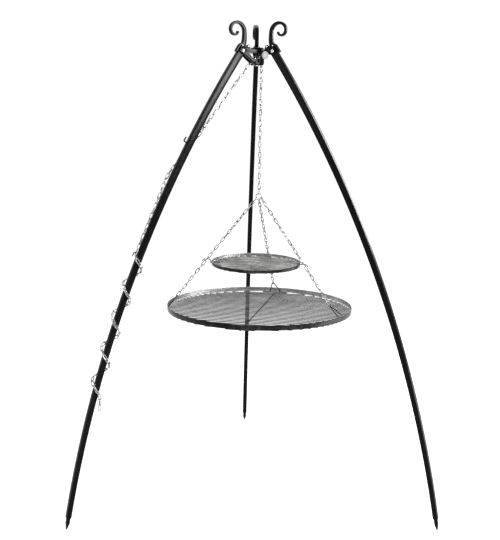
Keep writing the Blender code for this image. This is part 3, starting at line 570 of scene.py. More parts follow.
# %% [markdown]
# ## The scroll tops
# A smith draws the end of a square bar thinner and rolls it in. The stem stays thick, and the
# curl's radius shrinks faster and faster towards its tip, which a power of the turned share
# gives. The tongue at the bottom lies on the leg's outer face, and a rivet goes through the foot.
# The back scroll was not rolled quite in line, so its curl leans a little to the left.

# %% Scrolls
SCROLL_WIDTH, TONGUE, BEND, FOOT, STEM, CURL = 0.017, 0.010, 0.019, 0.0180, 0.0145, 0.008
TONGUE_S, STEM_AT = np.array([0.018, -0.014]), [[0.0700, 1.9222, BEND], [0.0645, 1.9370, FOOT]]
CURL_AT, CURL_RADIUS, CURL_SHRINK, CURL_POWER = np.array([0.1045, 1.9755]), 0.0415, 0.80, 1.05
CURL_FROM, CURL_TO, CURL_THIN = np.radians(190), np.radians(-165), 1.6
SCROLL_LEAN = {"left": 0.0, "right": 0.0, "back": 0.009}
LEAN_FROM, LEAN_OVER, SCROLL_CORNER = 0.066, 0.08, 0.0024


def smooth_path(points, steps):
    """A curve through all the points: each run is a cubic that meets its neighbours in the same direction."""
    p = np.concatenate([2 * points[:1] - points[1:2], points, 2 * points[-1:] - points[-2:-1]])
    p0, p1, p2, p3 = (p[k:len(p) - 3 + k, None] for k in range(4))
    u = (np.arange(steps) / steps)[None, :, None]
    curve = 0.5 * (2 * p1 + (p2 - p0) * u + (2 * p0 - 5 * p1 + 4 * p2 - p3) * u ** 2
                   + (3 * p1 - p0 - 3 * p2 + p3) * u ** 3)
    return np.concatenate([curve.reshape(-1, points.shape[1]), points[-1:]])


def scroll_line():
    """The scroll's middle line in (r, z), with the bar's thickness at each point as a third number."""
    tongue = np.stack([*leg_line(TONGUE_S, TUBE_TOP / 2 + SEAT + TONGUE / 2), [TONGUE, TONGUE]], -1)
    share = np.linspace(0, 1, 14)
    angle = CURL_FROM + (CURL_TO - CURL_FROM) * share
    radius = CURL_RADIUS * (1 - CURL_SHRINK * share ** CURL_POWER)
    curl = np.stack([CURL_AT[0] + radius * np.cos(angle), CURL_AT[1] + radius * np.sin(angle),
                     CURL + (STEM - CURL) * (1 - share) ** CURL_THIN], -1)
    return smooth_path(np.concatenate([tongue, STEM_AT, curl]), 7)


def scroll_grid(side):
    """A rounded bar of changing thickness along the scroll's line, which leans sideways as it goes out."""
    line = scroll_line()
    lean = SCROLL_LEAN[side] * np.clip((line[:, 0] - LEAN_FROM) / LEAN_OVER, 0, 1)
    path = arm_point(side, line[:, 0], line[:, 1], lean)
    profile = np.stack([rounded_bar(t, SCROLL_WIDTH, min(SCROLL_CORNER, 0.3 * t)) for t in line[:, 2]])
    return sweep(path, profile, np.broadcast_to(left_of(side), path.shape))


for side in AZIMUTH:
    built("scroll_top_" + side, scroll_grid(side), BLACK_PAINT, side + "_leg", ["scroll_" + side], "black_paint")
print("scroll height", round(float(scroll_grid("left")[..., 2].max()), 4))

# %% [markdown]
# ## The hub's plates
# The hub is made of flat plates cut from sheet, with a pair for each leg. Their outlines come
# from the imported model. A copy of each is cleaned of its inner triangles and given a small
# bevel, since a cut and painted plate never has a knife edge.

# %% Hub plates
def softened(node, name, width):
    """A copy of a flat plate with its doubles merged, its flat faces joined, and its edges bevelled."""
    import bmesh
    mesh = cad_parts[node].data.copy()
    form = bmesh.new()
    form.from_mesh(mesh)
    bmesh.ops.remove_doubles(form, verts=form.verts, dist=1e-6)
    bmesh.ops.dissolve_limit(form, angle_limit=np.radians(1.0), verts=form.verts, edges=form.edges)
    form.to_mesh(mesh)
    form.free()
    mesh.polygons.foreach_set("use_smooth", np.ones(len(mesh.polygons), bool))
    piece = added(name, mesh)
    bevel = piece.modifiers.new("soft_edges", "BEVEL")
    bevel.width, bevel.segments, bevel.limit_method, bevel.angle_limit = width, 2, "ANGLE", np.radians(50)
    bevel.harden_normals = True
    return piece


PLATE_BEVEL = 0.0007
PLATES = ["cheek_front", "cheek_rear", "ear_right_rear", "ear_right_front", "ear_back_left", "ear_back_right"]
for node in PLATES:
    dress(softened(node, node + "_plate", PLATE_BEVEL), BLACK_PAINT, "stand", [node])

HUB_TOP_Z, HUB_PLATE_R, HUB_PLATE_THICK, HUB_PLATE_EDGE, AT_AXIS = 1.9070, 0.0275, 0.005, 0.002, 1e-5


def plate_profile(radius, low, high, round_by):
    """Half the outline of a disc with rounded rims: the middle, out, up round the edge, and back."""
    turn = np.linspace(-np.pi / 2, np.pi / 2, 7)
    middle = (low + high) / 2
    round_by = min(round_by, (high - low) / 2)
    edge = np.stack([radius - round_by + round_by * np.cos(turn),
                     middle + (high - low) / 2 * np.sin(turn)], -1)
    return np.concatenate([[[AT_AXIS, low]], edge, [[AT_AXIS, high]]])


plate = plate_profile(HUB_PLATE_R, HUB_TOP_Z + SEAT, HUB_TOP_Z + SEAT + HUB_PLATE_THICK, HUB_PLATE_EDGE)
built("hub_top_plate", turned(plate, HUB, UP, 64), BLACK_PAINT, "stand", ["hub_plate"], "black_paint", wrap_rows=True)
print("plates", len(PLATES) + 1)

# %% [markdown]
# ## Bolts
# Each leg turns on a bolt with a low domed head on one side and a nut on the other. A turned
# profile gives the head and shank, and the nut's rows swell and shrink six times a turn,
# which is a hexagon's distance from its middle. A smaller bolt stops each leg, and the
# pulley's axle is a bolt of the same kind.

# %% Fasteners
def hexed(turn):
    """How far out a hexagon's flat is at each angle, over its distance at the flat's middle."""
    return 1 / np.cos((turn + np.pi / 6) % (np.pi / 3) - np.pi / 6)


NUT_SHAPE = np.array([[0.93, 0.0], [0.95, 0.15], [0.95, 0.85], [0.84, 1.0]])
NUT_CORNERS = np.array([0.9, 0.9, 0.9, 0.6]) * 0.75


def bolt_grid(start, along, grip, radius, head_radius, head, steps=48):
    """Domed head, shank and hexagon nut as one turned skin, with rows along the bolt. The nut's shape is given in
    shares of the head's radius and height, and its corners in shares of a full hexagon's."""
    dome = np.linspace(0, np.pi / 2, 8)
    rows = np.concatenate([
        np.stack([head_radius * np.sin(dome), -SEAT - head * (0.3 + 0.7 * np.cos(dome))], -1),
        [[head_radius, -SEAT], [radius, -SEAT], [radius, grip + SEAT]],
        NUT_SHAPE * [head_radius, head] + [0, grip + SEAT], [[radius * 0.9, grip + SEAT + head]]])
    rows[0, 0] = AT_AXIS
    corners = np.zeros(len(rows))
    corners[-5:-1] = NUT_CORNERS
    swell = 1 + corners[:, None] * (hexed(2 * np.pi * np.arange(steps) / steps)[None] - 1)
    out = spokes(along, np.cross(along, UP), steps)
    return start + out[None] * (rows[:, :1] * swell)[..., None] + along * rows[:, 1][:, None, None]


# A bolt's head is on the side that the camera sees: left of the leg (1) or right of it (-1).
OUTER, AXLE_Z = 0.0144, 1.858
FACING = {"left": 1, "right": -1, "back": 1}
BOLTS = {"hinge_bolt": ((HINGE_R, HINGE_Z), (0.004, 0.0072, 0.005)),
         "stop_bolt": ((0.0505, 1.9150), (0.0022, 0.0040, 0.0030))}
for side, facing in FACING.items():
    for kind, (place, sizes) in BOLTS.items():
        grid = bolt_grid(arm_point(side, *place, OUTER * facing), -facing * left_of(side), 2 * OUTER, *sizes)
        built(f"{kind}_turned_{side}", grid, BRIGHT, "stand", [f"{kind}_{side}"], "bright_steel")
axle = bolt_grid(arm_point("left", 0.0, AXLE_Z, OUTER), -left_of("left"), 2 * OUTER, 0.004, 0.0066, 0.005)
built("pulley_axle_turned", axle, BLACK_PAINT, "stand", ["pulley_axle"], "black_paint")
print("bolts", len(FACING) * len(BOLTS) + 1)

# %% [markdown]
# ## Rivets and the disc
# A rivet's head is low and round, so its rows are a quarter of an ellipse. The plain disc on
# the right arm is turned from the same outline as the hub's top plate.

# %% Rivets
def dome_grid(centre, out, radius, height):
    """A rivet head: rows of a quarter ellipse from its rim up to its crown, and a short skirt below."""
    turn = np.linspace(0, np.pi / 2, 6)
    rows = np.stack([radius * np.cos(turn), height * np.sin(turn)], -1)
    rows = np.concatenate([[[radius, -0.4 * height]], rows])
    rows[-1, 0] = AT_AXIS
    return turned(rows, centre, out, 20, unit(np.cross(out, [0.2, 0.1, 1.0]))).swapaxes(0, 1)


RIVET_AT, RIVET_R, RIVET_HIGH = (0.0745, 1.9180), 0.0031, 0.0012
for side, facing in FACING.items():
    at = arm_point(side, *RIVET_AT, facing * SCROLL_WIDTH / 2)
    head = dome_grid(at, facing * left_of(side), RIVET_R, RIVET_HIGH)
    built("scroll_rivet_" + side, head, BRIGHT, side + "_leg", (), "bright_steel")

TAG_AT, TAG_R, TAG_THICK, TAG_EDGE = (0.0458, 1.8805), 0.016, 0.0032, 0.0012
tag = plate_profile(TAG_R, 0.0, TAG_THICK, TAG_EDGE)
disc = turned(tag, arm_point("right", *TAG_AT, -OUTER - SEAT), -left_of("right"), 64)
built("plain_disc", disc, DULL, "stand", ["tag_disc"], "bright_steel", wrap_rows=True)
print("rivets", len(FACING), "and a disc", 2 * TAG_R, "m across")

# %% [markdown]
# ## The pulley
# The chain runs over a small grooved wheel between the cheeks. Upright links sink in the slot
# and flat ones ride on its shoulders. It is turned on a lathe, so a closed profile with eased
# corners is spun round its axle.

# %% Pulley wheel
def eased(corners, size, steps=4):
    """A closed outline whose corners are cut back by size and rounded with a smooth bend."""
    corners = np.asarray(corners, float)
    before, after = np.roll(corners, 1, 0), np.roll(corners, -1, 0)
    start, end = corners + unit(before - corners) * size, corners + unit(after - corners) * size
    return bend(start, corners, end, steps).reshape(-1, 2)


PITCH, WHEEL_EASE = 0.022, 0.0006
half_wheel = np.array([[0.0045, 0.0093], [0.0198, 0.0093], [0.0198, 0.0079], [0.0162, 0.0079], [0.0162, 0.0028],
                       [0.0113, 0.0028]])
outline = np.concatenate([half_wheel, half_wheel[::-1] * [1, -1]])
wheel = turned(eased(outline, WHEEL_EASE), arm_point("left", 0.0, AXLE_Z), left_of("left"), 96)
built("pulley_turned", wheel, ZINC, "pulley", ["pulley_wheel"], "zinc_steel", wrap_rows=True)
print("wheel radius", half_wheel[:, 0].max())

# %% [markdown]
# ## Chain links
# A link is round wire bent to a long oval: two half circles joined by straight sides. A chain
# is that one grid of points set at every contact, with each link turned a quarter from the
# last, and the whole run is worked out at once as one array.

# %% One link, many places
WIRE, LINK_HALF_WIDTH, LINK_PAST = 0.00197, 0.005, 0.002
LINK_AROUND, WIRE_SIDES = 20, 8


def link_points():
    """An oval of half width w and half length a: w cos t pushed out by a - w on each side, w sin t across."""
    a = PITCH / 2 + LINK_PAST
    t = 2 * np.pi * (np.arange(LINK_AROUND) + 0.5) / LINK_AROUND
    middle = np.stack([LINK_HALF_WIDTH * np.cos(t) + (a - LINK_HALF_WIDTH) * np.sign(np.cos(t)),
                       LINK_HALF_WIDTH * np.sin(t), 0 * t], -1)
    out = np.stack([np.cos(t), np.sin(t), 0 * t], -1)
    ring = circle(WIRE, WIRE_SIDES)
    return middle[:, None] + out[:, None] * ring[None, :, :1] + np.array([0, 0, 1.0]) * ring[None, :, 1:]


def chain_grids(contacts, flats, first=0):
    """Sets the link at the middle of every run between contacts; its flat faces along flats, a quarter turn
    off on every second link."""
    along = unit(np.diff(contacts, axis=0))
    middle = (contacts[1:] + contacts[:-1]) / 2
    flats = np.broadcast_to(flats, along.shape)
    flats = unit(flats - along * np.sum(along * flats, -1, keepdims=True))
    turned_flat = np.cross(along, flats)
    odd = ((np.arange(len(along)) + first) % 2 == 1)[:, None]
    face = np.where(odd, turned_flat, flats)
    across = np.cross(face, along)
    points = link_points()[None]
    return (middle[:, None, None] + along[:, None, None] * points[..., :1] + across[:, None, None] * points[..., 1:2]
            + face[:, None, None] * points[..., 2:])


def chain(name, node, body, contacts, flats, first=0):
    """One run of chain as a single piece, and how many links it has."""
    grids = chain_grids(contacts, flats, first)
    return built(name, grids, ZINC, body, [node], "zinc_steel", wrap_rows=True, sharp=80), len(grids)


print("points in a link", link_points().shape[:2])

# %% [markdown]
# ## The hoist
# The main chain drops from the pulley to the joining ring. It twists a little on the way, so
# that its last link stands square to the ring. On the other side the chain leaves the pulley
# towards the left leg. When the grates are lifted the real chain runs away over the pulley.

# %% Pulley chain and main chain
PULLEY_R, FALL_EXIT, MAIN_LINKS, RING_TURN, LIFT = 0.022, np.radians(39), 24, np.radians(180), 0.30
turn = np.radians([0, 60, 120])  # a link's pitch is as long as the radius, so it spans a sixth of a turn
over = arm_point("left", -PULLEY_R * np.cos(turn), AXLE_Z + PULLEY_R * np.sin(turn))
leave = (arm_point("left", np.sin(FALL_EXIT), 0) - HUB - UP * np.cos(FALL_EXIT)) * PITCH
pulley_line = np.concatenate([arm_point("left", [-PULLEY_R], AXLE_Z - PITCH), over, over[-1:] + leave])
print(chain("pulley_links", "pulley_chain", "stand", pulley_line, left_of("left"), first=1)[1], "links on the pulley")

fall_top = pulley_line[0]
main_line = fall_top - UP * PITCH * np.arange(MAIN_LINKS + 1)[:, None]
facing = AZIMUTH["left"] + np.pi / 2 + (RING_TURN - AZIMUTH["left"]) * np.arange(MAIN_LINKS) / (MAIN_LINKS - 1)
main_flats = np.stack([np.cos(facing), np.sin(facing), 0 * facing], -1)
chain("swing_link_upper", "top_link", "upper_link", main_line[:2], main_flats[:1])
chain("swing_link_lower", "second_link", "lower_link", main_line[1:3], main_flats[1:2], first=1)
main_links, count = chain("main_links", "main_chain", "main_fall", main_line[2:], main_flats[2:])
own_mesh(main_links)
print(count, "links on the main chain")

# %% [markdown]
# ## The hanger
# The ring carries three bridle chains, and each ends on a V of rod welded inside the large
# rim. The two side chains hang across the ring, so they twist a quarter turn over their first
# links before they lie as the back one does.

# %% Ring, bridles and bails
RING_R, RING_WIRE, BAIL_WIRE, CLEAR = 0.013, 0.0023, 0.0025, 0.0004
RING_HANG = {"left": np.radians(-146), "back": np.radians(-90), "right": np.radians(-34)}
BRIDLE_AZIMUTH = {"left": np.radians(178), "back": np.radians(76.5), "right": np.radians(328)}
BRIDLE_TWIST = {"left": np.pi / 2, "back": 0.0, "right": np.pi / 2}
BRIDLE_LINKS, TWIST_LINKS, BAIL_TOP_Z = 25, 12, 0.862
LARGE_R, LARGE_Z, LARGE_HEIGHT, RIM_THICK = 0.400, 0.809, 0.020, 0.003
BAIL_SPREAD, BAIL_TOP_HALF, BAIL_FOOT, BAIL_BEND, WELD_GAP = 0.022, 0.0035, (0.003, 0.008), 0.006, 0.0007
LARGE_SHIFT, SMALL_SHIFT = 0.010, -0.008

ring_bottom = main_line[-1]
ring_middle = ring_bottom + UP * (RING_WIRE + CLEAR / 2 - RING_R)
ring = turned(circle(RING_WIRE, 14) + [RING_R, 0], ring_middle, [0, 1, 0], 64)
built("joining_ring_round", ring, ZINC, "grates", ["joining_ring"], "zinc_steel", wrap_rows=True)
hang = arm_point("left", -PULLEY_R, 0.0)
large_middle = hang + [LARGE_SHIFT, 0, LARGE_Z]


def bridle_line(side):
    """Contacts from the ring to the bail, with the radius at which the links just reach the bail's height."""
    a, h = BRIDLE_AZIMUTH[side], RING_HANG[side]
    out = np.array([np.cos(a), np.sin(a), 0.0])
    eye = ring_middle + np.array([np.cos(h), 0, np.sin(h)]) * RING_R
    reach = BRIDLE_LINKS * PITCH - RING_WIRE - BAIL_WIRE - CLEAR
    below = large_middle * [1, 1, 0] + UP * BAIL_TOP_Z
    away = below - eye
    b, c = np.dot(away, out), np.dot(away, away) - reach ** 2
    bail = below + out * (np.sqrt(b * b - c) - b)
    along = unit(bail - eye)
    contacts = eye - along * (RING_WIRE + CLEAR / 2) + along * PITCH * np.arange(BRIDLE_LINKS + 1)[:, None]
    return contacts, out, bail


def bail_path(out, bail):
    """Foot, foot bend, top, top, foot bend, foot, in the plane of the V, with rounded bends."""
    across = np.cross(UP, out)
    wall = LARGE_R - RIM_THICK - SEAT
    r = np.sqrt(wall ** 2 - BAIL_SPREAD ** 2) - BAIL_WIRE - WELD_GAP
    half = [[large_middle + out * r + across * BAIL_SPREAD * k + UP * z for z in BAIL_FOOT]
            + [bail + across * BAIL_TOP_HALF * k] for k in (-1, 1)]
    return bent(half[0] + half[1][::-1], BAIL_BEND, 7)


def rod_piece(name, path, radius, across, material, body, node, slot):
    """A round rod along a path, with domed ends."""
    grid = domed_ends(path, circle(radius, 14), np.broadcast_to(across, path.shape), radius * 0.6)
    return built(name, grid, material, body, [node], slot, sharp=60)


def framed_across(path):
    """A direction square to a nearly flat path: the cross product of the runs to its middle and to its end."""
    return unit(np.cross(path[len(path) // 2] - path[0], path[-1] - path[0]))


bridles = {}
for side in BRIDLE_AZIMUTH:
    contacts, out, bail = bridle_line(side)
    across, along = np.cross(UP, out), unit(contacts[1] - contacts[0])
    twist = BRIDLE_TWIST[side] * np.maximum(0, 1 - np.arange(BRIDLE_LINKS) / TWIST_LINKS)
    flats = across * np.cos(twist)[:, None] + np.cross(along, across) * np.sin(twist)[:, None]
    chain("bridle_links_" + side, "bridle_" + side, "grates", contacts, flats)
    path = bail_path(out, bail)
    rod_piece("bail_rod_" + side, path, BAIL_WIRE, framed_across(path), ROD_STEEL, "grates", "bail_" + side,
              "grate_steel")
    bridles[side] = (contacts, out, across)
    print(side, "bail radius", round(float(np.linalg.norm((bail - large_middle)[:2])), 4))

# %% [markdown]
# ## The grates
# Each grate is a ring of flat bar stood on edge, with round rods welded across under it and
# one rod square to them below. That cross rod is pressed deeper into the small grate's rods,
# so it shows between them. The small grate hangs a little to the left with its back edge high,
# so each grate is worked out about its own middle and its own upright direction.

# %% Rims
EAST = np.array([1.0, 0.0, 0.0])
SMALL_R, SMALL_Z, SMALL_HEIGHT, SMALL_TILT = 0.192, 1.006, 0.012, np.radians(2.2)
WELD_SINK, RIM_CORNER = 0.0012, 0.0009
small_middle = hang + [SMALL_SHIFT, 0, SMALL_Z]
small_up = np.array([0.0, -np.sin(SMALL_TILT), np.cos(SMALL_TILT)])


def rim(name, middle, up, radius, high, steps, node):
    """A flat bar's rounded section, turned round the grate's middle and sunk a little over the rods' tops.
    The attribute "inside" marks its inner face."""
    section = rounded_bar(RIM_THICK, high + WELD_SINK, RIM_CORNER)
    section = section + [radius - RIM_THICK / 2, (high - WELD_SINK) / 2]
    bar = surface(name, turned(section, middle, up, steps, EAST), wrap_rows=True)
    places = np.empty(len(bar.data.vertices) * 3)
    bar.data.vertices.foreach_get("co", places)
    out = np.linalg.norm(np.cross(places.reshape(-1, 3) - middle, up), axis=-1)
    # This attribute says where the rims' painted reflection goes.
    inside = bar.data.attributes.new("inside", "FLOAT", "POINT")
    inside.data.foreach_set("value", np.clip((radius - 0.6 * RIM_THICK - out) / (0.3 * RIM_THICK), 0, 1))
    return dress(bar, RIM_STEEL, "grates", [node])


rim("large_rim_bar", large_middle, UP, LARGE_R, LARGE_HEIGHT, 240, "large_rim")
rim("small_rim_bar", small_middle, small_up, SMALL_R, SMALL_HEIGHT, 160, "small_rim")
print("rims", LARGE_R, SMALL_R)

# %% [markdown]
# ## Rods and welds
# The rods are drawn wire, cut square with a small chamfer and welded at both ends. Parallel
# lines, a circle to stop them and one round section are enough for all of them. Each end gets
# a small bead of weld inside the rim.

# %% Rods
ROD_TURN, ROD_SHORT, CROSS_REACH, CROSS_THICKER = np.radians(-13.6), 0.0012, 0.985, 1.15
BEAD_IN, BEAD_UP, BEAD_SHAPE = 0.0008, 0.0004, np.array([1.5, 0.9, 0.8])


def rod_lines(middle, up, radius, rod, pitch, under):
    """Ends of parallel rods: offsets at an even pitch, half lengths sqrt(reach^2 - offset^2).
    The cross rod's middle lies lower than theirs by under times the rod's radius."""
    north = np.cross(up, EAST)
    along = EAST * np.cos(ROD_TURN) + north * np.sin(ROD_TURN)
    across = north * np.cos(ROD_TURN) - EAST * np.sin(ROD_TURN)
    level = middle - up * (rod + SEAT)
    count = int((radius - rod) / pitch)
    offset = np.arange(-count, count + 1)[:, None] * pitch
    reach = radius - ROD_SHORT
    half = np.sqrt(reach ** 2 - (np.abs(offset) + rod) ** 2)
    start, end = level + across * offset - along * half, level + across * offset + along * half
    cross = level - up * (under * rod)
    half_cross = across * reach * CROSS_REACH
    return np.stack([start, end], 1), np.stack([cross - half_cross, cross + half_cross])[None]


def rod_grids(lines, up, rod, runs=9, ease=0.0007, end_share=0.72):
    """Straight round rods with eased ends: over the last stretch, ease, the radius drops to its end share."""
    direction = unit(lines[:, 1] - lines[:, 0])
    length = np.linalg.norm(lines[:, 1] - lines[:, 0], axis=-1)[:, None]
    share = np.linspace(0, 1, runs)
    along = np.concatenate([0 * length, ease + share * (length - 2 * ease), length], 1)
    radius = np.concatenate([[end_share], np.ones(runs), [end_share]]) * rod
    side = np.cross(up, direction)
    ring = circle(1.0, 12)
    around = side[:, None] * ring[None, :, :1] + up * ring[None, :, 1:]
    middle = lines[:, :1] + direction[:, None] * along[..., None]
    return middle[:, :, None] + around[:, None] * radius[None, :, None, None]


def weld_grid(centres, out, up, size, rows=5, around=8):
    """Small beads: half ellipsoids from just inside the metal they join up to their crown, drawn out sideways."""
    lift = np.linspace(-0.2, np.pi / 2 - 0.05, rows)
    turn = 2 * np.pi * np.arange(around) / around
    side = np.cross(up, out)
    wide = (np.cos(lift)[:, None] * np.cos(turn))[None, ..., None] * side[:, None, None] * size[0]
    deep = np.sin(lift)[None, :, None, None] * out[:, None, None] * size[1] * np.ones((1, 1, around, 1))
    high = (np.cos(lift)[:, None] * np.sin(turn))[None, ..., None] * up * size[2]
    return centres[:, None, None] + wide + deep + high


GRATES = (("large", large_middle, UP, (LARGE_R, 0.0023, 0.0245, 1.75), ROD_STEEL),
          ("small", small_middle, small_up, (SMALL_R, 0.0016, 0.0143, 0.75), CLEAN_ROD_STEEL))
for title, middle, up, sizes, steel in GRATES:
    lines, cross = rod_lines(middle, up, *sizes)
    rod = sizes[1]
    built(title + "_rods", rod_grids(lines, up, rod), steel, "grates", [title + "_grid"], "grate_steel", sharp=50)
    under = rod_grids(cross, up, rod * CROSS_THICKER)
    # The cross rod is coloured dark, a painted shade for the shade under the rods.
    built(title + "_cross_rod", under, CROSS_ROD_SHADE, "grates", (), "grate_steel", sharp=50)
    ends = lines.reshape(-1, 3) - middle
    ends = ends - up * (ends @ up)[:, None]
    inward = -unit(ends)
    beads = middle + ends + inward * (RIM_THICK - BEAD_IN) + up * BEAD_UP
    welds = weld_grid(beads, inward, up, rod * BEAD_SHAPE)
    built(title + "_rim_welds", welds, BRIGHT, "grates", (), "grate_steel", sharp=80)
    print(title, "rods", len(lines), "weld beads", len(beads))

# %% [markdown]
# ## Hooks
# The small grate hangs from the bridles by three bent rods. On the left leg one hook keeps a
# tool and another holds the chain, and both are painted with the leg. Each is a rod swept
# along a path whose corners are rounded as a bending jig leaves them, with its ends domed.

# %% Grate hooks and leg hooks
SMALL_HANG_LINK, SMALL_HOOK_WIRE, CHAIN_HOOK_WIRE, TOOL_HOOK_WIRE = 15, 0.002, 0.00225, 0.003
SMALL_HOOK_BEND, LEG_HOOK_BEND, TOOL_HOOK_S = 0.004, 0.005, 0.448
FOOT_RISE, TOP_OUT, PAST_LINK, TIP_OUT, TIP_DROP = 0.001, 0.006, 0.0135, 0.0195, 0.007


def small_hook_path(side):
    """Up the rim's outer wall, out and through the held link, then down past it."""
    contacts, out, across = bridles[side]
    held = (contacts[SMALL_HANG_LINK] + contacts[SMALL_HANG_LINK + 1]) / 2 - small_middle
    r, sideways, top = np.dot(held, out), np.dot(held, across), held[2]
    wall = np.sqrt(SMALL_R ** 2 - sideways ** 2) + SMALL_HOOK_WIRE + WELD_GAP
    foot = (out * wall + across * sideways)[1] * np.tan(SMALL_TILT)
    shape = np.array([[wall, foot + FOOT_RISE], [wall, foot + SMALL_HEIGHT], [wall + TOP_OUT, top],
                      [r + PAST_LINK, top], [r + TIP_OUT, top - TIP_DROP]])
    base = small_middle + across * sideways
    return bent(base + out * shape[:, :1] + UP * shape[:, 1:], SMALL_HOOK_BEND), across


for side in BRIDLE_AZIMUTH:
    path, across = small_hook_path(side)
    rod_piece("grate_hook_" + side, path, SMALL_HOOK_WIRE, across, ROD_STEEL, "grates", "small_hook_" + side,
              "grate_steel")


def leg_hook(name, node, wire, s, shape):
    """A hook on the leg's outer face: its shape gives places (further down, further out) from s."""
    face = tube_depth(s) / 2 + SEAT
    path = bent(leg_point("left", s + shape[:, 0], face + shape[:, 1]), LEG_HOOK_BEND)
    rod_piece(name, path, wire, left_of("left"), BLACK_PAINT, "left_leg", node, "black_paint")


TOOL_HOOK = np.array([[0.0, -0.001], [0.0, 0.012], [-0.004, 0.0145], [-0.018, 0.0125]])
leg_hook("tool_hook_rod", "tool_hook", TOOL_HOOK_WIRE, TOOL_HOOK_S, TOOL_HOOK)
print("hooks", len(BRIDLE_AZIMUTH) + 1)

# %% [markdown]
# ## The chain on the left leg
# The working end of the chain runs down from the pulley, round the far side of the leg and
# on to its hook. The route is a smooth curve through a few places given in the leg's own
# frame, and the contacts are stepped off along it at the chain's pitch, each the same straight
# distance from the last.

# %% Chain route
def stepped(curve, pitch):
    """Contacts on a fine curve: from each one, the first later place that is a pitch away in a straight line."""
    contacts, i = [curve[0]], 0
    while i < len(curve) - 1:
        away = np.linalg.norm(curve[i + 1:] - contacts[-1], axis=1)
        found = np.argmax(away >= pitch)
        if away[found] < pitch:
            break
        i += found
        a, b = curve[i], curve[i + 1]
        d, e = b - a, a - contacts[-1]
        q, w, c = d @ d, d @ e, e @ e - pitch ** 2
        contacts.append(a + d * (-w + np.sqrt(max(w * w - q * c, 0))) / q)
    return np.array(contacts)


# Each place is given as how far down the leg, how far out from its middle and how far to its left.
CHAIN_HOOK_S, FALL_OUT, HOOK_LOW = 0.915, 0.0201, 0.0035
FALL_PLACES = np.array([[0.30, -0.0325, -0.003], [0.39, -0.0242, -0.009], [0.44, -0.0175, -0.0175],
                        [0.50, -0.004, -0.0207], [0.555, 0.009, -0.0207], [0.605, 0.0211, -0.013],
                        [0.655, 0.0232, -0.003], [0.72, 0.0221, 0.0], [0.82, FALL_OUT, 0.0],
                        [CHAIN_HOOK_S + 0.05, FALL_OUT, 0.0]])
first = pulley_line[-1:]
straight = first + (first - pulley_line[-2:-1]) * 3
places = np.concatenate([first, straight, leg_point("left", *FALL_PLACES.T)])
fall = stepped(smooth_path(places, 12), PITCH)
hook_turn = top_angle - CHAIN_HOOK_S / arc_radius
outward = (arm_point("left", np.cos(hook_turn), 0) - HUB) + UP * np.sin(hook_turn)
hook_at = leg_point("left", CHAIN_HOOK_S, FALL_OUT)
middles = (fall[1:] + fall[:-1]) / 2
last = 1 + 2 * int(np.argmin(np.linalg.norm(middles[::2] - hook_at, axis=1)))
fall = fall[:last + 1]
print(chain("fall_links", "fall_chain", "left_leg", fall, outward)[1], "links in the fall")

held = (fall[-2] + fall[-1]) / 2
hook_s = CHAIN_HOOK_S + (hook_at - held) @ unit(fall[-2] - fall[-1]) + HOOK_LOW
CHAIN_HOOK = np.array([[0.0, -0.001], [0.0, 0.0142], [0.004, 0.0175], [0.016, 0.0175]])
leg_hook("chain_hook_rod", "chain_hook", CHAIN_HOOK_WIRE, hook_s, CHAIN_HOOK)

# %% [markdown]
# ## The wound end
# Below its hook the chain is wound round the leg and its last links hang free. The winding
# goes out and sideways with the cosine and sine of its phase, each raised to a power below
# one, which squares a circle up towards the tube it lies on. The links turn from lying on
# edge to an even slant over the first few.

# %% Wound tail
WRAP_OUT, WRAP_SIDE, WRAP_LEAD, WRAP_PITCH, WRAP_SQUARE = 0.0245, 0.0238, -0.003, 0.133, 0.75
WRAP_TURNS, WRAP_POINTS, TAIL_FREE = 4.3, 24, 0.072
LEAN_START, LEAN_LOSS, LEAN_LINKS = 90, 45, 3
k = np.arange(1, int(WRAP_TURNS * WRAP_POINTS) + 1)
phase, ease = 2 * np.pi * k / WRAP_POINTS, np.minimum(1.0, 4 * k / WRAP_POINTS)
c, w = np.cos(phase), np.sin(phase)
n = (FALL_OUT + (WRAP_OUT - FALL_OUT) * ease) * np.sign(c) * np.abs(c) ** WRAP_SQUARE
t = WRAP_SIDE * np.sqrt(ease) * np.sign(w) * np.abs(w) ** WRAP_SQUARE
start_s = hook_s - HOOK_LOW + PITCH / 2
wound = leg_point("left", start_s + WRAP_LEAD + WRAP_PITCH * k / WRAP_POINTS, n, t)
wound = np.concatenate([fall[-1:], wound, wound[-1:] - UP * TAIL_FREE])
tail = stepped(smooth_path(wound, 4), PITCH)
middles, along = (tail[1:] + tail[:-1]) / 2, unit(np.diff(tail, axis=0))
core = leg_point("left", start_s + 0.01 * np.arange(120))
nearest = core[np.argmin(np.linalg.norm(middles[:, None] - core[None], axis=-1), axis=1)]
off = middles - nearest
off = unit(off - along * np.sum(off * along, -1, keepdims=True))
lean = np.radians(LEAN_START - LEAN_LOSS * np.minimum(1.0, np.arange(len(off)) / LEAN_LINKS))[:, None]
flats = off * np.cos(lean) + np.cross(along, off) * np.sin(lean)
print(chain("tail_links", "tail_chain", "left_leg", tail, flats)[1], "links wound on the leg")

# %% [markdown]
# ## Ground, light and sky
# The photograph has a white ground and a strong light from the right. Three lamps give that
# side: one in front for the left leg's flat side, a tall one behind for the right leg's outer
# face, and a low wide one that runs along the rims. Each stands where that face mirrors it to
# the camera. One lamp overhead and a weak one on the left fill the rest, and the sky is plain.
# The floor takes a shadow, and has a glow on top of what the lamps give it, so that the camera
# sees it white. The two together go past white: behind the grates they come to 1.3 to 2.4,
# where 1 is white. So thin rods and chains look thinner against it than they are, most of all
# from behind. A lower glow would spare them.

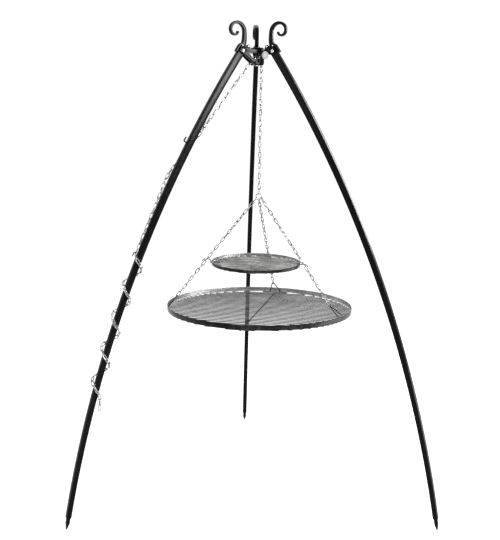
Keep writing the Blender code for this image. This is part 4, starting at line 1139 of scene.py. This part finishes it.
# %% Floor and lights
def seen_white(tree):
    """One for rays from the camera, from a gloss or through glass, which all see the white surroundings."""
    path = tree.nodes.new("ShaderNodeLightPath").outputs
    seen = sums(tree, "MAXIMUM", path["Is Camera Ray"], path["Is Glossy Ray"])
    return sums(tree, "MAXIMUM", seen, path["Is Transmission Ray"])


GROUND_PALE, GROUND_DARK = (0.8, 0.8, 0.8, 1), (0.2, 0.2, 0.2, 1)
GLOW_FROM, GLOW_TO, GLOW_NEAR, GLOW_FAR = 1.0, 2.6, 0.62, 1.05


def white_ground():
    """A pale floor: part plain diffuse, which keeps the shadow, and part its own light, which lifts it past white.
    Light that it scatters back up comes from a darker ground."""
    made = bpy.data.materials.new("white_ground")
    made.use_nodes = True
    tree = made.node_tree
    tree.nodes.clear()
    pale, dark = (add_node(tree, "ShaderNodeBsdfDiffuse", {"Color": colour}).outputs[0]
                  for colour in (GROUND_PALE, GROUND_DARK))
    far = add_node(tree, "ShaderNodeVectorMath", {0: coordinates(tree, "Object")}, "LENGTH").outputs["Value"]
    lift = ranged(tree, far, GLOW_FROM, GLOW_TO, GLOW_NEAR, GLOW_FAR)
    glow = add_node(tree, "ShaderNodeEmission", {"Strength": lift}).outputs[0]
    bright = add_node(tree, "ShaderNodeAddShader", {0: pale, 1: glow}).outputs[0]
    mix = add_node(tree, "ShaderNodeMixShader", {"Fac": seen_white(tree), 1: dark, 2: bright}).outputs[0]
    add_node(tree, "ShaderNodeOutputMaterial", {"Surface": mix})
    return made


GROUND_HALF, GROUND_LOW = 30, 0.0005
corners = [[[x * GROUND_HALF, y * GROUND_HALF, -GROUND_LOW] for x in (-1, 1)] for y in (-1, 1)]
ground = surface("ground", np.array(corners), caps=False)
ground.data.materials.append(white_ground())


def lamp(name, place, aim, wide, high, power):
    """A soft rectangular lamp at a place, turned to face its aim."""
    from mathutils import Vector
    light = bpy.data.lights.new(name, "AREA")
    light.shape, light.size, light.size_y, light.energy = "RECTANGLE", wide, high, power
    made = added(name, light)
    made.location = place
    made.rotation_euler = (Vector(aim) - Vector(place)).to_track_quat("-Z", "Y").to_euler()
    return made


lamp("key_right", (2.6, -1.95, 2.25), (-0.2, -0.3, 1.8), 0.9, 1.15, 125)
lamp("back_right_tall", (2.75, 1.8, 2.5), (0.3, -0.4, 1.4), 0.9, 1.9, 75)
lamp("right_low", (3.3, -0.3, 0.35), (0, 0, 0.8), 2.4, 0.6, 34)
lamp("overhead", (0.0, 0.6, 3.8), (0, 0, 0.9), 1.6, 1.6, 60)
lamp("fill_left", (-3.4, -2.4, 2.2), (0, 0, 1.0), 1.6, 1.6, 12)

SKY_LIGHT, SKY_SEEN = 0.07, 1.05
world = bpy.data.worlds.new("plain_sky")
world.use_nodes = True
bpy.context.scene.world = world
sky = world.node_tree.nodes["Background"]
sky.inputs["Color"].default_value = (1, 1, 1, 1)
level = ranged(world.node_tree, seen_white(world.node_tree), 0.0, 1.0, SKY_LIGHT, SKY_SEEN)
world.node_tree.links.new(level, sky.inputs["Strength"])
bpy.context.scene.view_settings.view_transform = "Standard"
